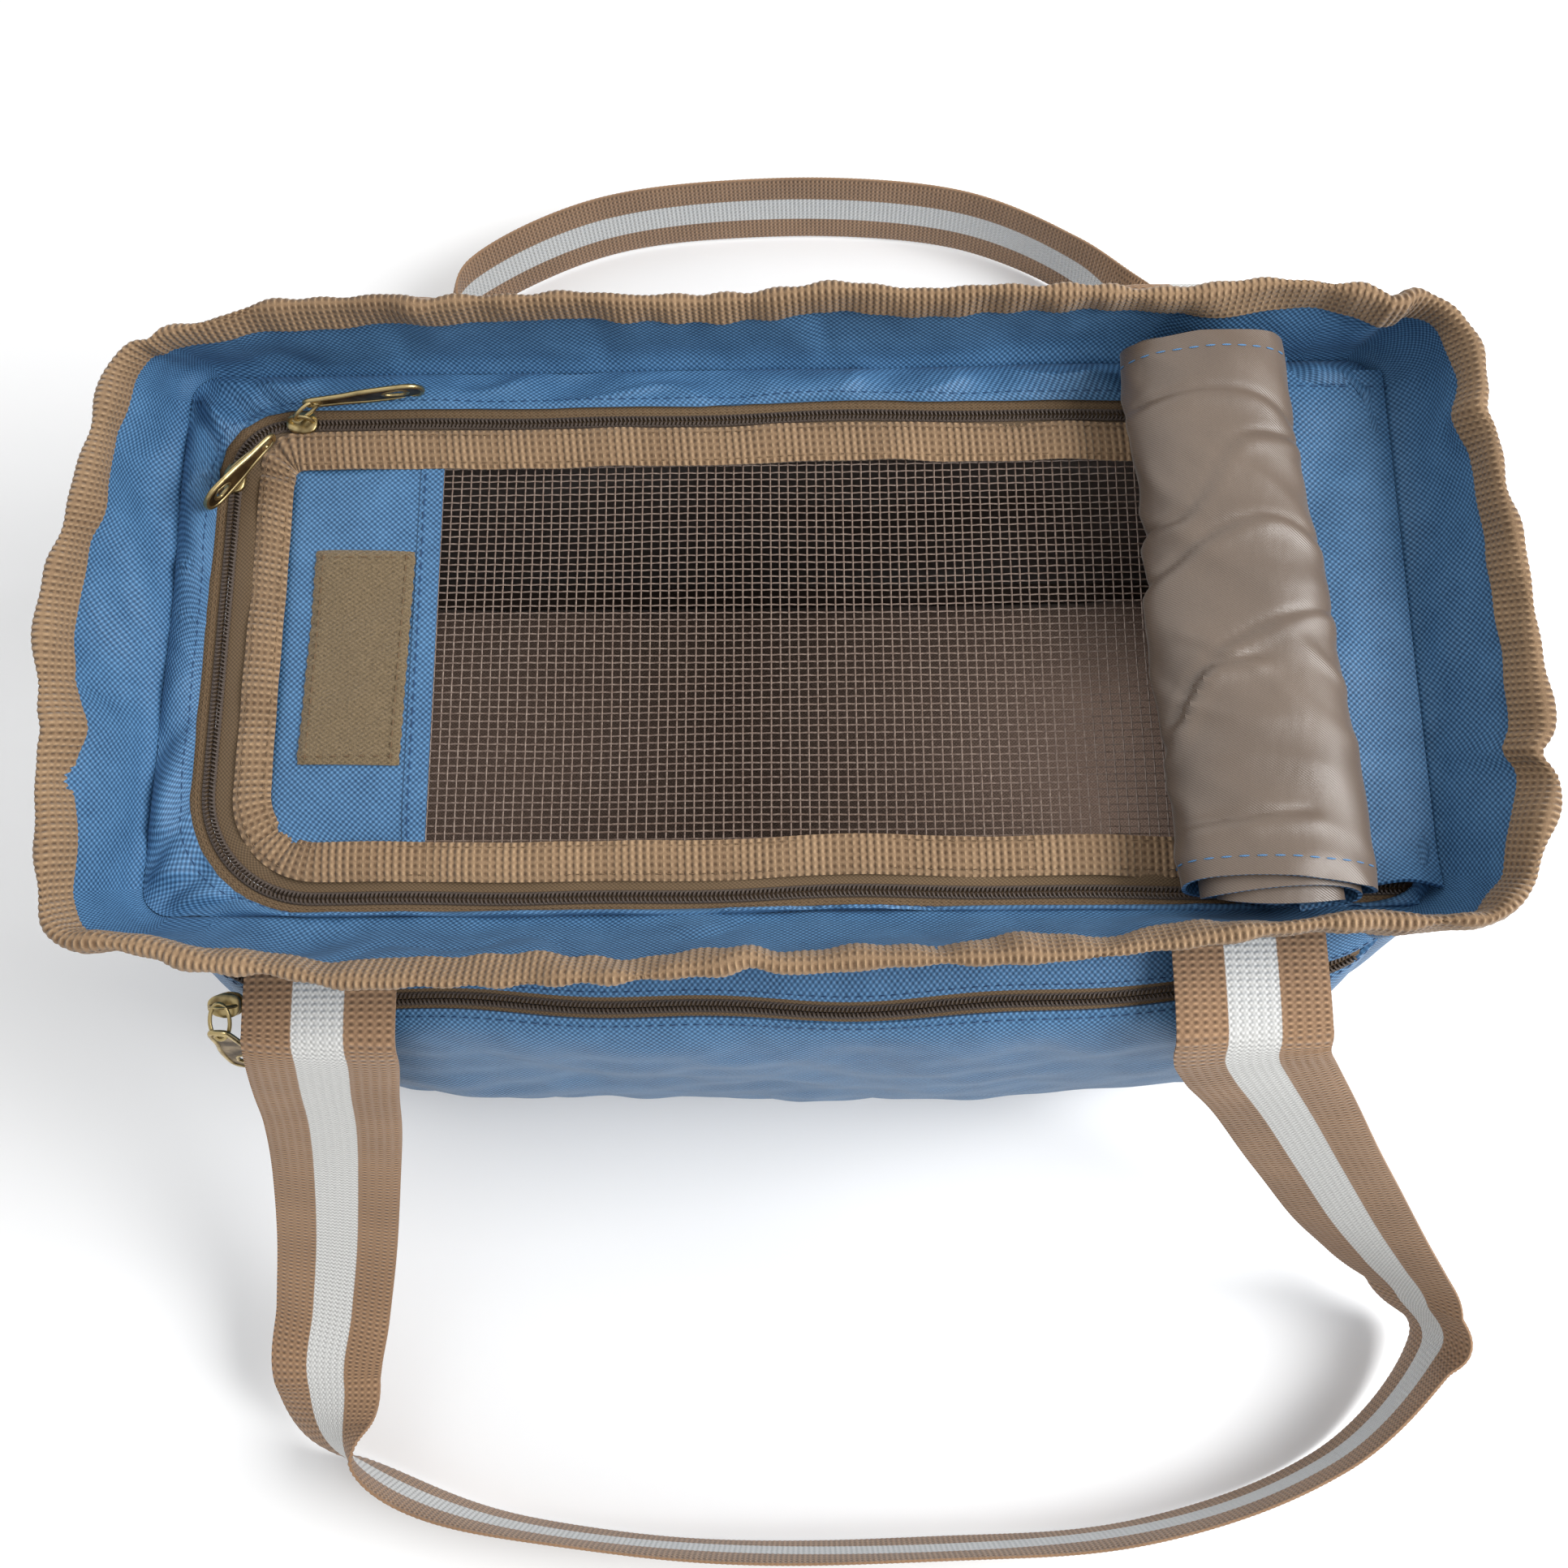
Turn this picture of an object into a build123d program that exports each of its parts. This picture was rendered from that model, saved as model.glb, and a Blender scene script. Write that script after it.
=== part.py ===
"""Soft-sided pet transport carrier, with a mesh top door, a rolled cover, two webbing handles and a pocket.

Millimetres. +Z is up, X runs along the carrier and +Y points to its back. The origin is the centre of
the base, on the surface that the carrier stands on.
"""

from build123d import *
import os

# Driving dimensions of the body
SEAM_HEIGHT = 257.0  # plane of the top panel
RIM_HEIGHT = 38.0  # the walls stand this far above the top panel
BASE_LENGTH = 446.0
BASE_WIDTH = 240.0
BELLY_HEIGHT = 100.0  # the walls bulge most here
BELLY_LENGTH = 456.0
BELLY_WIDTH = 244.0
SEAM_LENGTH = 430.0
SEAM_WIDTH = 204.0
RIM_LENGTH = 472.0
RIM_BACK = 106.0  # the back of the rim stands nearly upright
RIM_FRONT = 126.0  # the front of the rim leans out
CLOTH = 2.0  # outer fabric with its foam
LINING = 1.5
PIPING_RADIUS = 2.5
PIPING_PROUD = 0.6  # the cord's centre stands this far outside the wall
CORNER_SEAM_X = 186.0  # the end panels wrap round the corners to these seams

# Base
BASE_CLOTH = 2.0
BOARD = 3.0
MAT = 18.0

# Door and its zip, whose coil runs along the back, the left end and the front of the door
COIL_BACK = 79.0
COIL_LEFT = -192.5
COIL_FRONT = -93.0
BACK_CORNER = 18.0
FRONT_CORNER = 38.0
COIL_GAP = 0.55  # from the zip's centre line to either row of teeth
COIL_EDGE = 1.9
COIL_HEIGHT = 2.4
TAPE = 1.0
TAPE_EDGE = 11.0
FRAME_EDGE = 6.0  # the top panel's hem, from the coil's centre line
DOOR_RIGHT = 203.0
FRAME_RIGHT = 206.0
HINGE_X = 211.0
BINDING_OUTER = -5.0
BINDING_INNER = -18.0
BINDING = 1.5
MESH_EDGE = -9.7
END_PANEL_X = -119.0
PATCH_SIZE = (34.0, 77.0)
PATCH_CENTRE = (-145.0, -9.0)

# Rolled cover
ROLL_BACK = (144.5, 93.0)
ROLL_FRONT = (156.0, -96.0)
ROLL_WIDTH = 58.0
ROLL_HEIGHT = 31.0
FLAP_LEFT = 150.0
FLAP_RIGHT = 204.0
FLAP = 1.4

# Webbing
WEB_WIDTH = 50.0
WEB = 2.4
HANDLE_X = 151.0  # centre of each strap end
FRONT_HINGE_Y = 141.0  # the straps bend down here, clear of the rim and of the pocket's pull
FRONT_HINGE_Z = 252.0
BACK_HINGE_Y = 131.5
BACK_HINGE_Z = 254.0
ANCHOR_GAP = 4.0  # from an anchor's end to the hinge line

# Pocket on the front wall
POCKET_LENGTH = 400.0
POCKET_TOP = 248.0
POCKET_EDGE_Z = 240.0
POCKET_EDGE_Y = -134.0
POCKET_CLOTH = 1.6
POCKET_ZIP_Y = -125.5

# Ring tabs and rings at the ends
TAB_WIDTH = 25.0
TAB_Y = -7.0
TAB_TOP = 277.0
RING_WIRE = 1.8
RING_INNER = 28.5
RING_DROP = 20.0

# Mesh windows in the ends
WINDOW_SIZE = (130.0, 120.0)
WINDOW_Z = 135.0
WINDOW_CORNER = 26.0
WINDOW_BINDING = 9.0
WINDOW_MESH = 1.0

OVERSIZE = 600.0  # reach of the cutting blocks

os.makedirs("parts", exist_ok=True)


def save(piece, name):
    """Label a finished piece and write it."""
    piece.label = name
    export_step(piece, f"parts/{name}.step")


# ---------------------------------------------------------------- form of the body


LEVELS = (
    (0.0, BASE_LENGTH / 2, BASE_WIDTH / 2, BASE_WIDTH / 2, 34.0),
    (BELLY_HEIGHT, BELLY_LENGTH / 2, BELLY_WIDTH / 2, BELLY_WIDTH / 2, 36.0),
    (SEAM_HEIGHT, SEAM_LENGTH / 2, SEAM_WIDTH / 2, SEAM_WIDTH / 2, 26.0),
    (SEAM_HEIGHT + RIM_HEIGHT, RIM_LENGTH / 2, RIM_BACK, RIM_FRONT, 30.0),
)


def body_size(height):
    """Half length, back reach, front reach and corner radius of the body at a height."""
    for low, high in zip(LEVELS, LEVELS[1:]):
        if height <= high[0]:
            break
    share = (height - low[0]) / (high[0] - low[0])
    return [a + (b - a) * share for a, b in zip(low[1:], high[1:])]


def body_form(inset, bottom, top):
    """The closed form of the body, drawn in by an inset, from one height to another."""
    heights = [bottom] + [level[0] for level in LEVELS if bottom < level[0] < top] + [top]
    with BuildPart() as form:
        for height in heights:
            length, back, front, corner = body_size(height)
            with BuildSketch(Plane.XY.offset(height)):
                with Locations((0, (back - front) / 2)):
                    RectangleRounded(2 * (length - inset), back + front - 2 * inset, corner - inset)
        loft(ruled=True)
    return form.part


def body_shell(inset, thickness, bottom, top):
    """A wall of the body: its outer face lies at the inset, and it is as thick as stated."""
    with BuildPart() as shell:
        add(body_form(inset, bottom, top))
        add(body_form(inset + thickness, bottom, top), mode=Mode.SUBTRACT)
    return shell.part


rim_top = SEAM_HEIGHT + RIM_HEIGHT
walls = body_shell(0, CLOTH, BASE_CLOTH, rim_top)
seam_gap = PIPING_RADIUS + 0.1


# ---------------------------------------------------------------- base


with BuildPart() as base_panel:
    add(body_form(0, 0, BASE_CLOTH))
save(base_panel.part, "base_panel")

board_inset = CLOTH + 1.0
with BuildPart() as base_board:
    add(body_form(board_inset, BASE_CLOTH, BASE_CLOTH + BOARD))
save(base_board.part, "base_board")

lining_bottom = BASE_CLOTH + BOARD
lining_top = SEAM_HEIGHT - 1.2
mat_bottom = lining_bottom + LINING

with BuildPart() as base_mat:
    length, back, front, corner = body_size(mat_bottom)
    mat_inset = CLOTH + LINING + 5.0
    with BuildSketch(Plane.XY.offset(mat_bottom)):
        RectangleRounded(2 * (length - mat_inset), back + front - 2 * mat_inset, corner)
    extrude(amount=MAT)
    fillet(base_mat.edges().group_by(Axis.Z)[-1], MAT / 3)
save(base_mat.part, "base_mat")

length, back, front, corner = body_size(0)
reach = PIPING_RADIUS + 0.6
base_outline = RectangleRounded(2 * (length + reach), back + front + 2 * reach, corner + reach)
base_path = (Pos(0, 0, PIPING_RADIUS + 1.0) * base_outline).face().outer_wire()
with BuildPart() as base_piping:
    with BuildSketch(Plane(origin=base_path @ 0, z_dir=base_path % 0)):
        Circle(PIPING_RADIUS)
    sweep(path=base_path)
save(base_piping.part, "base_piping")


# ---------------------------------------------------------------- walls


def window_cut(side, grow, low, high):
    """A bar through an end window, as large as its outline grown by an amount, along the X axis."""
    with BuildPart() as bar:
        with BuildSketch(Plane.YZ.offset(side * low)):
            with Locations((0, WINDOW_Z)):
                RectangleRounded(
                    WINDOW_SIZE[0] + 2 * grow, WINDOW_SIZE[1] + 2 * grow, WINDOW_CORNER + grow
                )
        extrude(amount=side * (high - low))
    return bar.part


for side, name in ((-1, "front_panel"), (1, "back_panel")):
    with BuildPart() as panel:
        add(walls)
        with Locations((0, side * OVERSIZE / 2, 0)):
            Box(2 * (CORNER_SEAM_X - seam_gap), OVERSIZE, 2 * OVERSIZE, mode=Mode.INTERSECT)
    save(panel.part, name)

for side, end in ((-1, "left"), (1, "right")):
    with BuildPart() as panel:
        add(walls)
        with Locations((side * (CORNER_SEAM_X + seam_gap + OVERSIZE / 2), 0, 0)):
            Box(OVERSIZE, OVERSIZE, 2 * OVERSIZE, mode=Mode.INTERSECT)
        add(window_cut(side, 0, CORNER_SEAM_X, CORNER_SEAM_X + 90), mode=Mode.SUBTRACT)
    save(panel.part, f"{end}_end_panel")

    with BuildPart() as window_mesh:
        add(body_shell(0.5, WINDOW_MESH, BASE_CLOTH, SEAM_HEIGHT))
        add(window_cut(side, -0.1, CORNER_SEAM_X, CORNER_SEAM_X + 90), mode=Mode.INTERSECT)
    save(window_mesh.part, f"{end}_window_mesh")

    with BuildPart() as window_binding:
        add(body_shell(-BINDING, BINDING, BASE_CLOTH, SEAM_HEIGHT))
        add(window_cut(side, WINDOW_BINDING - 4, CORNER_SEAM_X, CORNER_SEAM_X + 90), mode=Mode.INTERSECT)
        add(window_cut(side, -4, CORNER_SEAM_X, CORNER_SEAM_X + 90), mode=Mode.SUBTRACT)
    save(window_binding.part, f"{end}_window_binding")

with BuildPart() as cabin_lining:
    add(body_form(CLOTH, lining_bottom, lining_top))
    add(body_form(CLOTH + LINING, lining_bottom + LINING, lining_top), mode=Mode.SUBTRACT)
    for side in (-1, 1):
        add(window_cut(side, 0, CORNER_SEAM_X, CORNER_SEAM_X + 90), mode=Mode.SUBTRACT)
save(cabin_lining.part, "cabin_lining")

front_pipings = []
for side_x, end in ((-1, "left"), (1, "right")):
    for side_y, face in ((-1, "front"), (1, "back")):
        with BuildPart() as corner_piping:
            for height in (2 * PIPING_RADIUS + 2, BELLY_HEIGHT, SEAM_HEIGHT, rim_top - 11):
                length, back, front, corner = body_size(height)
                reach = (back if side_y > 0 else front) + PIPING_PROUD
                with BuildSketch(Plane.XY.offset(height)):
                    with Locations((side_x * CORNER_SEAM_X, side_y * reach)):
                        Circle(PIPING_RADIUS)
            loft(ruled=True)
        save(corner_piping.part, f"{face}_{end}_piping")
        if face == "front":
            front_pipings.append(corner_piping.part)

binding_drop = 9.0
with BuildPart() as rim_binding:
    length, back, front, corner = body_size(rim_top)
    add(body_form(-BINDING, rim_top - binding_drop, rim_top))
    with BuildSketch(Plane.XY.offset(rim_top)):
        with Locations((0, (back - front) / 2)):
            RectangleRounded(2 * (length + BINDING), back + front + 2 * BINDING, corner + BINDING)
    extrude(amount=BINDING)
    cut = CLOTH + BINDING
    add(body_form(cut, rim_top - binding_drop, rim_top), mode=Mode.SUBTRACT)
    with BuildSketch(Plane.XY.offset(rim_top)):
        with Locations((0, (back - front) / 2)):
            RectangleRounded(2 * (length - cut), back + front - 2 * cut, corner - cut)
    extrude(amount=BINDING, mode=Mode.SUBTRACT)
    add(walls, mode=Mode.SUBTRACT)
save(rim_binding.part, "rim_binding")


# ---------------------------------------------------------------- top panel, door and their zip


def door_outline(offset, right):
    """The door's outline: the coil's centre line moved out by an offset, cut off square at the right."""
    left = COIL_LEFT - offset
    back = COIL_BACK + offset
    front = COIL_FRONT - offset
    with BuildSketch() as outline:
        with Locations(((left + right) / 2, (back + front) / 2)):
            Rectangle(right - left, back - front)
        left_corners = outline.vertices().group_by(Axis.X)[0].sort_by(Axis.Y)
        fillet(left_corners[-1], max(BACK_CORNER + offset, 2.0))
        left_corners = outline.vertices().group_by(Axis.X)[0].sort_by(Axis.Y)
        fillet(left_corners[0], FRONT_CORNER + offset)
    return outline.sketch


def door_band(outer, inner, right, bottom, thickness):
    """A flat band round three sides of the door, between two offsets from the coil's centre line."""
    with BuildPart() as band:
        with BuildSketch(Plane.XY.offset(bottom)):
            add(door_outline(outer, right))
            add(door_outline(inner, right), mode=Mode.SUBTRACT)
        extrude(amount=thickness)
    return band.part


frame_bottom = SEAM_HEIGHT
with BuildPart() as top_frame:
    add(body_form(CLOTH + 0.1, frame_bottom, frame_bottom + BINDING))
    with BuildSketch(Plane.XY.offset(frame_bottom)):
        add(door_outline(FRAME_EDGE, FRAME_RIGHT))
    extrude(amount=BINDING, mode=Mode.SUBTRACT)
save(top_frame.part, "top_frame")

with BuildPart() as frame_zip_tape:
    add(door_band(TAPE_EDGE, COIL_EDGE, FRAME_RIGHT, frame_bottom - TAPE, TAPE))
    add(body_form(CLOTH + LINING + 0.1, frame_bottom - TAPE, frame_bottom), mode=Mode.INTERSECT)
save(frame_zip_tape.part, "frame_zip_tape")

coil_bottom = frame_bottom - 1.2
with BuildPart() as frame_zip_coil:
    add(door_band(COIL_EDGE, COIL_GAP, FRAME_RIGHT, coil_bottom, COIL_HEIGHT))
    add(body_form(CLOTH + LINING + 0.1, coil_bottom, coil_bottom + COIL_HEIGHT), mode=Mode.INTERSECT)
save(frame_zip_coil.part, "frame_zip_coil")

door_coil = door_band(-COIL_GAP, -COIL_EDGE, DOOR_RIGHT, coil_bottom, COIL_HEIGHT)
save(door_coil, "door_zip_coil")

door_tape = door_band(-COIL_EDGE, MESH_EDGE, DOOR_RIGHT, frame_bottom - TAPE, TAPE)
save(door_tape, "door_zip_tape")

door_binding = door_band(BINDING_OUTER, BINDING_INNER, DOOR_RIGHT, frame_bottom, BINDING)
save(door_binding, "door_binding")

with BuildPart() as door_mesh:
    with BuildSketch(Plane.XY.offset(frame_bottom - TAPE)):
        add(door_outline(MESH_EDGE, DOOR_RIGHT))
        with Locations((END_PANEL_X - OVERSIZE / 2, 0)):
            Rectangle(OVERSIZE, OVERSIZE, mode=Mode.SUBTRACT)
    extrude(amount=TAPE)
save(door_mesh.part, "door_mesh")

with BuildPart() as door_end_panel:
    with BuildSketch(Plane.XY.offset(frame_bottom - TAPE)):
        add(door_outline(MESH_EDGE, DOOR_RIGHT))
        with Locations((END_PANEL_X + OVERSIZE / 2, 0)):
            Rectangle(OVERSIZE, OVERSIZE, mode=Mode.SUBTRACT)
    extrude(amount=TAPE)
save(door_end_panel.part, "door_end_panel")

with BuildPart() as door_patch:
    with BuildSketch(Plane.XY.offset(frame_bottom)):
        with Locations(PATCH_CENTRE):
            RectangleRounded(*PATCH_SIZE, 1.0)
    extrude(amount=2.0)
save(door_patch.part, "door_patch")


# ---------------------------------------------------------------- rolled cover


flap_bottom = frame_bottom + BINDING + 0.4
roll_bottom = flap_bottom + FLAP

with BuildPart() as cover_flap:
    with BuildSketch(Plane.XY.offset(flap_bottom)):
        with BuildLine():
            Polyline(
                (FLAP_LEFT - 6, ROLL_BACK[1]),
                (FLAP_RIGHT, ROLL_BACK[1] - 1),
                (FLAP_RIGHT, ROLL_FRONT[1] + 1),
                (FLAP_LEFT + 6, ROLL_FRONT[1]),
                close=True,
            )
        make_face()
    extrude(amount=FLAP)
save(cover_flap.part, "cover_flap")

with BuildPart() as cover_roll:
    roll_start = Vector(ROLL_BACK[0], ROLL_BACK[1], roll_bottom + ROLL_HEIGHT / 2)
    roll_end = Vector(ROLL_FRONT[0], ROLL_FRONT[1], roll_bottom + ROLL_HEIGHT / 2)
    for centre in (roll_start, roll_end):
        with BuildSketch(Plane(origin=centre, x_dir=(1, 0, 0), z_dir=(0, -1, 0))):
            Ellipse(ROLL_WIDTH / 2, ROLL_HEIGHT / 2)
    loft()
save(cover_roll.part, "cover_roll")


# ---------------------------------------------------------------- sliders and pulls


SLIDER_LENGTH = 11.0
SLIDER_WIDTH = 8.4
PLATE = 1.6
BAIL_LENGTH = 8.0
BAIL_WIRE = 0.9
BAIL_HEIGHT = 5.2
PULL_WIDTH = 12.0
PULL_THICK = 1.8


def make_slider(plane):
    """A zip slider, its travel along the plane's X axis and the zip's mid plane at the plane's origin."""
    with BuildPart(plane) as slider:
        with BuildSketch(plane.offset(COIL_HEIGHT / 2 + 0.2)):
            SlotOverall(SLIDER_LENGTH, SLIDER_WIDTH)
        extrude(amount=PLATE)
        with BuildSketch(plane.offset(-COIL_HEIGHT / 2 - 0.2)):
            SlotOverall(SLIDER_LENGTH, SLIDER_WIDTH)
        extrude(amount=-PLATE)
        with BuildSketch(plane.offset(-COIL_HEIGHT / 2 - 0.4)):
            Rectangle(4.5, 2 * (COIL_GAP - 0.15))
        extrude(amount=COIL_HEIGHT + 0.8)
        upright = Plane(origin=plane.origin, x_dir=plane.x_dir, z_dir=-plane.y_dir)
        base = COIL_HEIGHT / 2 + PLATE
        with BuildSketch(upright):
            with BuildLine():
                left = (-BAIL_LENGTH / 2, base)
                right = (BAIL_LENGTH / 2, base)
                Spline(left, (-2.6, base + BAIL_HEIGHT - 1), (2.6, base + BAIL_HEIGHT - 1), right)
                Line(right, (BAIL_LENGTH / 2 - 1.8, base))
                Spline(
                    (BAIL_LENGTH / 2 - 1.8, base),
                    (1.6, base + BAIL_HEIGHT - 2.8),
                    (-1.6, base + BAIL_HEIGHT - 2.8),
                    (-BAIL_LENGTH / 2 + 1.8, base),
                )
                Line((-BAIL_LENGTH / 2 + 1.8, base), left)
            make_face()
        extrude(amount=BAIL_WIRE, both=True)
    return slider.part


def make_pull(plane, length):
    """A flat pull, its eye at the plane's origin, running along its X axis, with an eye and a cut-out."""
    with BuildPart(plane) as pull:
        with BuildSketch(plane.offset(-PULL_THICK / 2)):
            with BuildLine():
                tip = length - 4.0
                neck = 3.2
                Polyline(
                    (tip, -PULL_WIDTH / 2),
                    (length * 0.45, -PULL_WIDTH / 2 + 0.8),
                    (neck, -neck),
                    (-neck, -neck),
                    (-neck, neck),
                    (neck, neck),
                    (length * 0.45, PULL_WIDTH / 2 - 0.8),
                    (tip, PULL_WIDTH / 2),
                )
                ThreePointArc((tip, PULL_WIDTH / 2), (length, 0), (tip, -PULL_WIDTH / 2))
            make_face()
            RectangleRounded(2.8, 4.0, 1.3, mode=Mode.SUBTRACT)
            with Locations((length * 0.72, 0)):
                RectangleRounded(length * 0.24, 6.4, 2.0, mode=Mode.SUBTRACT)
        extrude(amount=PULL_THICK)
    return pull.part


# Each slider rests at the start of a straight run of its zip. Its pull swings on the slider's bail.
zip_middle = coil_bottom + COIL_HEIGHT / 2
bail_top = zip_middle + COIL_HEIGHT / 2 + 0.2 + PLATE + BAIL_HEIGHT
BACK_PULL_LENGTH = 38.0
LEFT_PULL_LENGTH = 30.0
POCKET_PULL_LENGTH = 36.0

back_slider_at = Vector(-170, COIL_BACK, zip_middle)
left_slider_at = Vector(COIL_LEFT, 58, zip_middle)
up = (0, 0, 1)
save(make_slider(Plane(origin=back_slider_at, x_dir=(1, 0, 0), z_dir=up)), "back_zip_slider")
save(make_slider(Plane(origin=left_slider_at, x_dir=(0, -1, 0), z_dir=up)), "left_zip_slider")

# Both door pulls stand on edge: one along the back zip, the other aslant over the door's corner.
back_pull_at = back_slider_at + Vector(6.5, 4.5, 8.6)
left_pull_at = left_slider_at + Vector(13.4, 8.3, 10.9)
back_pull_plane = Plane(origin=back_pull_at, x_dir=(1, 0.12, 0), z_dir=(-0.12, 1, 0.25))
left_pull_plane = Plane(origin=left_pull_at, x_dir=(-0.628, -0.778, 0), z_dir=(-0.778, 0.628, 0.2))
save(make_pull(back_pull_plane, BACK_PULL_LENGTH), "back_zip_pull")
save(make_pull(left_pull_plane, LEFT_PULL_LENGTH), "left_zip_pull")


# ---------------------------------------------------------------- front pocket


POCKET_WALL_Y = -106.0
POCKET_CHAMFER = 16.0


def pocket_form(inset):
    """The closed form of the bulging pocket, from the front wall out, drawn in by an inset."""
    with BuildPart() as form:
        with BuildSketch(Plane.YZ):
            with BuildLine():
                Polyline(
                    (-96.0, POCKET_TOP - inset),
                    (POCKET_WALL_Y, POCKET_TOP - inset),
                    (POCKET_EDGE_Y + inset, POCKET_EDGE_Z - inset),
                    (-143.0 + inset, 190.0),
                    (-147.0 + inset, 135.0),
                    (-143.0 + inset, 70.0),
                    (-131.0 + inset, 28.0 + inset),
                    (-118.0, 16.0 + inset),
                    (-96.0, 16.0 + inset),
                    close=True,
                )
            make_face()
        extrude(amount=POCKET_LENGTH / 2 - inset, both=True)
        ends = form.faces().sort_by(Axis.X)
        upright = [edge for face in (ends[0], ends[-1]) for edge in face.edges()]
        chamfer([edge for edge in upright if edge.center().Y < -137], POCKET_CHAMFER)
    return form.part


slope = Vector(0, POCKET_EDGE_Y - POCKET_WALL_Y, POCKET_EDGE_Z - POCKET_TOP).normalized()
slope_normal = Vector(1, 0, 0).cross(slope) * -1
zip_share = (POCKET_ZIP_Y - POCKET_WALL_Y) / (POCKET_EDGE_Y - POCKET_WALL_Y)
pocket_zip_z = POCKET_TOP + (POCKET_EDGE_Z - POCKET_TOP) * zip_share
pocket_zip_half = 202.0
pocket_zip_plane = Plane(
    origin=(0, POCKET_ZIP_Y, pocket_zip_z - 0.6), x_dir=(1, 0, 0), z_dir=slope_normal
)
pocket_slot = 5.6  # half the width of the zip's slot

with BuildPart() as pocket_panel:
    add(pocket_form(0))
    add(pocket_form(POCKET_CLOTH), mode=Mode.SUBTRACT)
    add(body_form(-0.1, BASE_CLOTH, SEAM_HEIGHT), mode=Mode.SUBTRACT)
    for piping in front_pipings:
        add(piping, mode=Mode.SUBTRACT)
    with BuildSketch(pocket_zip_plane.offset(-6)):
        Rectangle(2 * pocket_zip_half - 12, 2 * pocket_slot)
    extrude(amount=12, mode=Mode.SUBTRACT)
save(pocket_panel.part, "pocket_panel")

with BuildPart() as pocket_zip_tape:
    with BuildSketch(pocket_zip_plane.offset(-TAPE)):
        Rectangle(2 * pocket_zip_half - 12, 2 * pocket_slot)
        Rectangle(2 * pocket_zip_half - 22, 2 * COIL_EDGE, mode=Mode.SUBTRACT)
    extrude(amount=TAPE)
save(pocket_zip_tape.part, "pocket_zip_tape")

with BuildPart() as pocket_zip_coil:
    with BuildSketch(pocket_zip_plane.offset(-COIL_HEIGHT / 2)):
        Rectangle(2 * pocket_zip_half - 22, 2 * COIL_EDGE)
        Rectangle(2 * pocket_zip_half - 26, 2 * COIL_GAP, mode=Mode.SUBTRACT)
    extrude(amount=COIL_HEIGHT)
save(pocket_zip_coil.part, "pocket_zip_coil")

POCKET_SLIDER_X = -186.0
pocket_slider_at = pocket_zip_plane.from_local_coords((POCKET_SLIDER_X, 0, 0))
pocket_slider_plane = Plane(origin=pocket_slider_at, x_dir=(1, 0, 0), z_dir=slope_normal)
save(make_slider(pocket_slider_plane), "pocket_zip_slider")
pocket_pull_at = pocket_slider_at + slope * 9.5 + slope_normal * 5.4
pocket_pull_plane = Plane(origin=pocket_pull_at, x_dir=(0, -0.18, -1), z_dir=(0, -1, 0.18))
save(make_pull(pocket_pull_plane, POCKET_PULL_LENGTH), "pocket_zip_pull")


# ---------------------------------------------------------------- ring tabs and rings


ring_x = 241.0
tunnel_radius = RING_WIRE + 0.05
ring_half = RING_INNER / 2 + RING_WIRE
ring_corner = 3.0

for side, end in ((-1, "left"), (1, "right")):
    with BuildPart() as ring_tab:
        with BuildSketch(Plane.XZ.offset(-TAB_Y)):
            wall_x = body_size(TAB_TOP)[0] + 0.1
            with Locations((side * (wall_x + ring_x) / 2, TAB_TOP)):
                Rectangle(ring_x - wall_x, 2.6)
            with Locations((side * ring_x, TAB_TOP)):
                Circle(RING_WIRE + 1.5)
                Circle(tunnel_radius, mode=Mode.SUBTRACT)
        extrude(amount=TAB_WIDTH / 2, both=True)
        add(body_form(-0.1, SEAM_HEIGHT - 10, rim_top), mode=Mode.SUBTRACT)
    save(ring_tab.part, f"{end}_ring_tab")

    ring_centre = (side * ring_x, TAB_Y, TAB_TOP - RING_DROP / 2)
    ring_plane = Plane(origin=ring_centre, x_dir=(0, 1, 0), z_dir=(1, 0, 0))
    ring_outline = ring_plane * RectangleRounded(2 * ring_half, RING_DROP, ring_corner)
    ring_path = ring_outline.face().outer_wire()
    with BuildPart() as strap_ring:
        with BuildSketch(Plane(origin=ring_path @ 0, z_dir=ring_path % 0)):
            Circle(RING_WIRE)
        sweep(path=ring_path)
    save(strap_ring.part, f"{end}_strap_ring")


# ---------------------------------------------------------------- webbing handles


hinges = ((-1, FRONT_HINGE_Y, FRONT_HINGE_Z, "front"), (1, BACK_HINGE_Y, BACK_HINGE_Z, "back"))
for side, hinge_y, hinge_z, face in hinges:
    inner = Vector(0, side * (body_size(SEAM_HEIGHT)[1] - 2), hinge_z + 2.6)
    outer = Vector(0, side * (hinge_y - ANCHOR_GAP), hinge_z + 2.2)
    run = outer - inner
    for end_x, end in ((-1, "left"), (1, "right")):
        with BuildPart() as anchor:
            centre = (inner + outer) / 2 + Vector(end_x * HANDLE_X, 0, 0)
            with BuildSketch(Plane(origin=centre, x_dir=(1, 0, 0), z_dir=run.cross(Vector(1, 0, 0)))):
                Rectangle(WEB_WIDTH, run.length)
            extrude(amount=WEB / 2, both=True)
            add(body_form(-0.1, SEAM_HEIGHT - 20, rim_top), mode=Mode.SUBTRACT)
        save(anchor.part, f"{face}_{end}_handle_anchor")


def make_handle(route):
    """A flat strap through the route's stations: each gives its centre and the strap's width direction."""
    centres = [Vector(*centre) for centre, width in route]
    with BuildPart() as strap:
        for index, centre in enumerate(centres):
            before = centres[max(index - 1, 0)]
            after = centres[min(index + 1, len(centres) - 1)]
            run = (after - before).normalized()
            width = Vector(*route[index][1])
            square = width - run * width.dot(run)
            with BuildSketch(Plane(origin=centre, x_dir=square, z_dir=run)):
                Rectangle(WEB_WIDTH, WEB)
        loft(ruled=True)
    return strap.part


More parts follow.
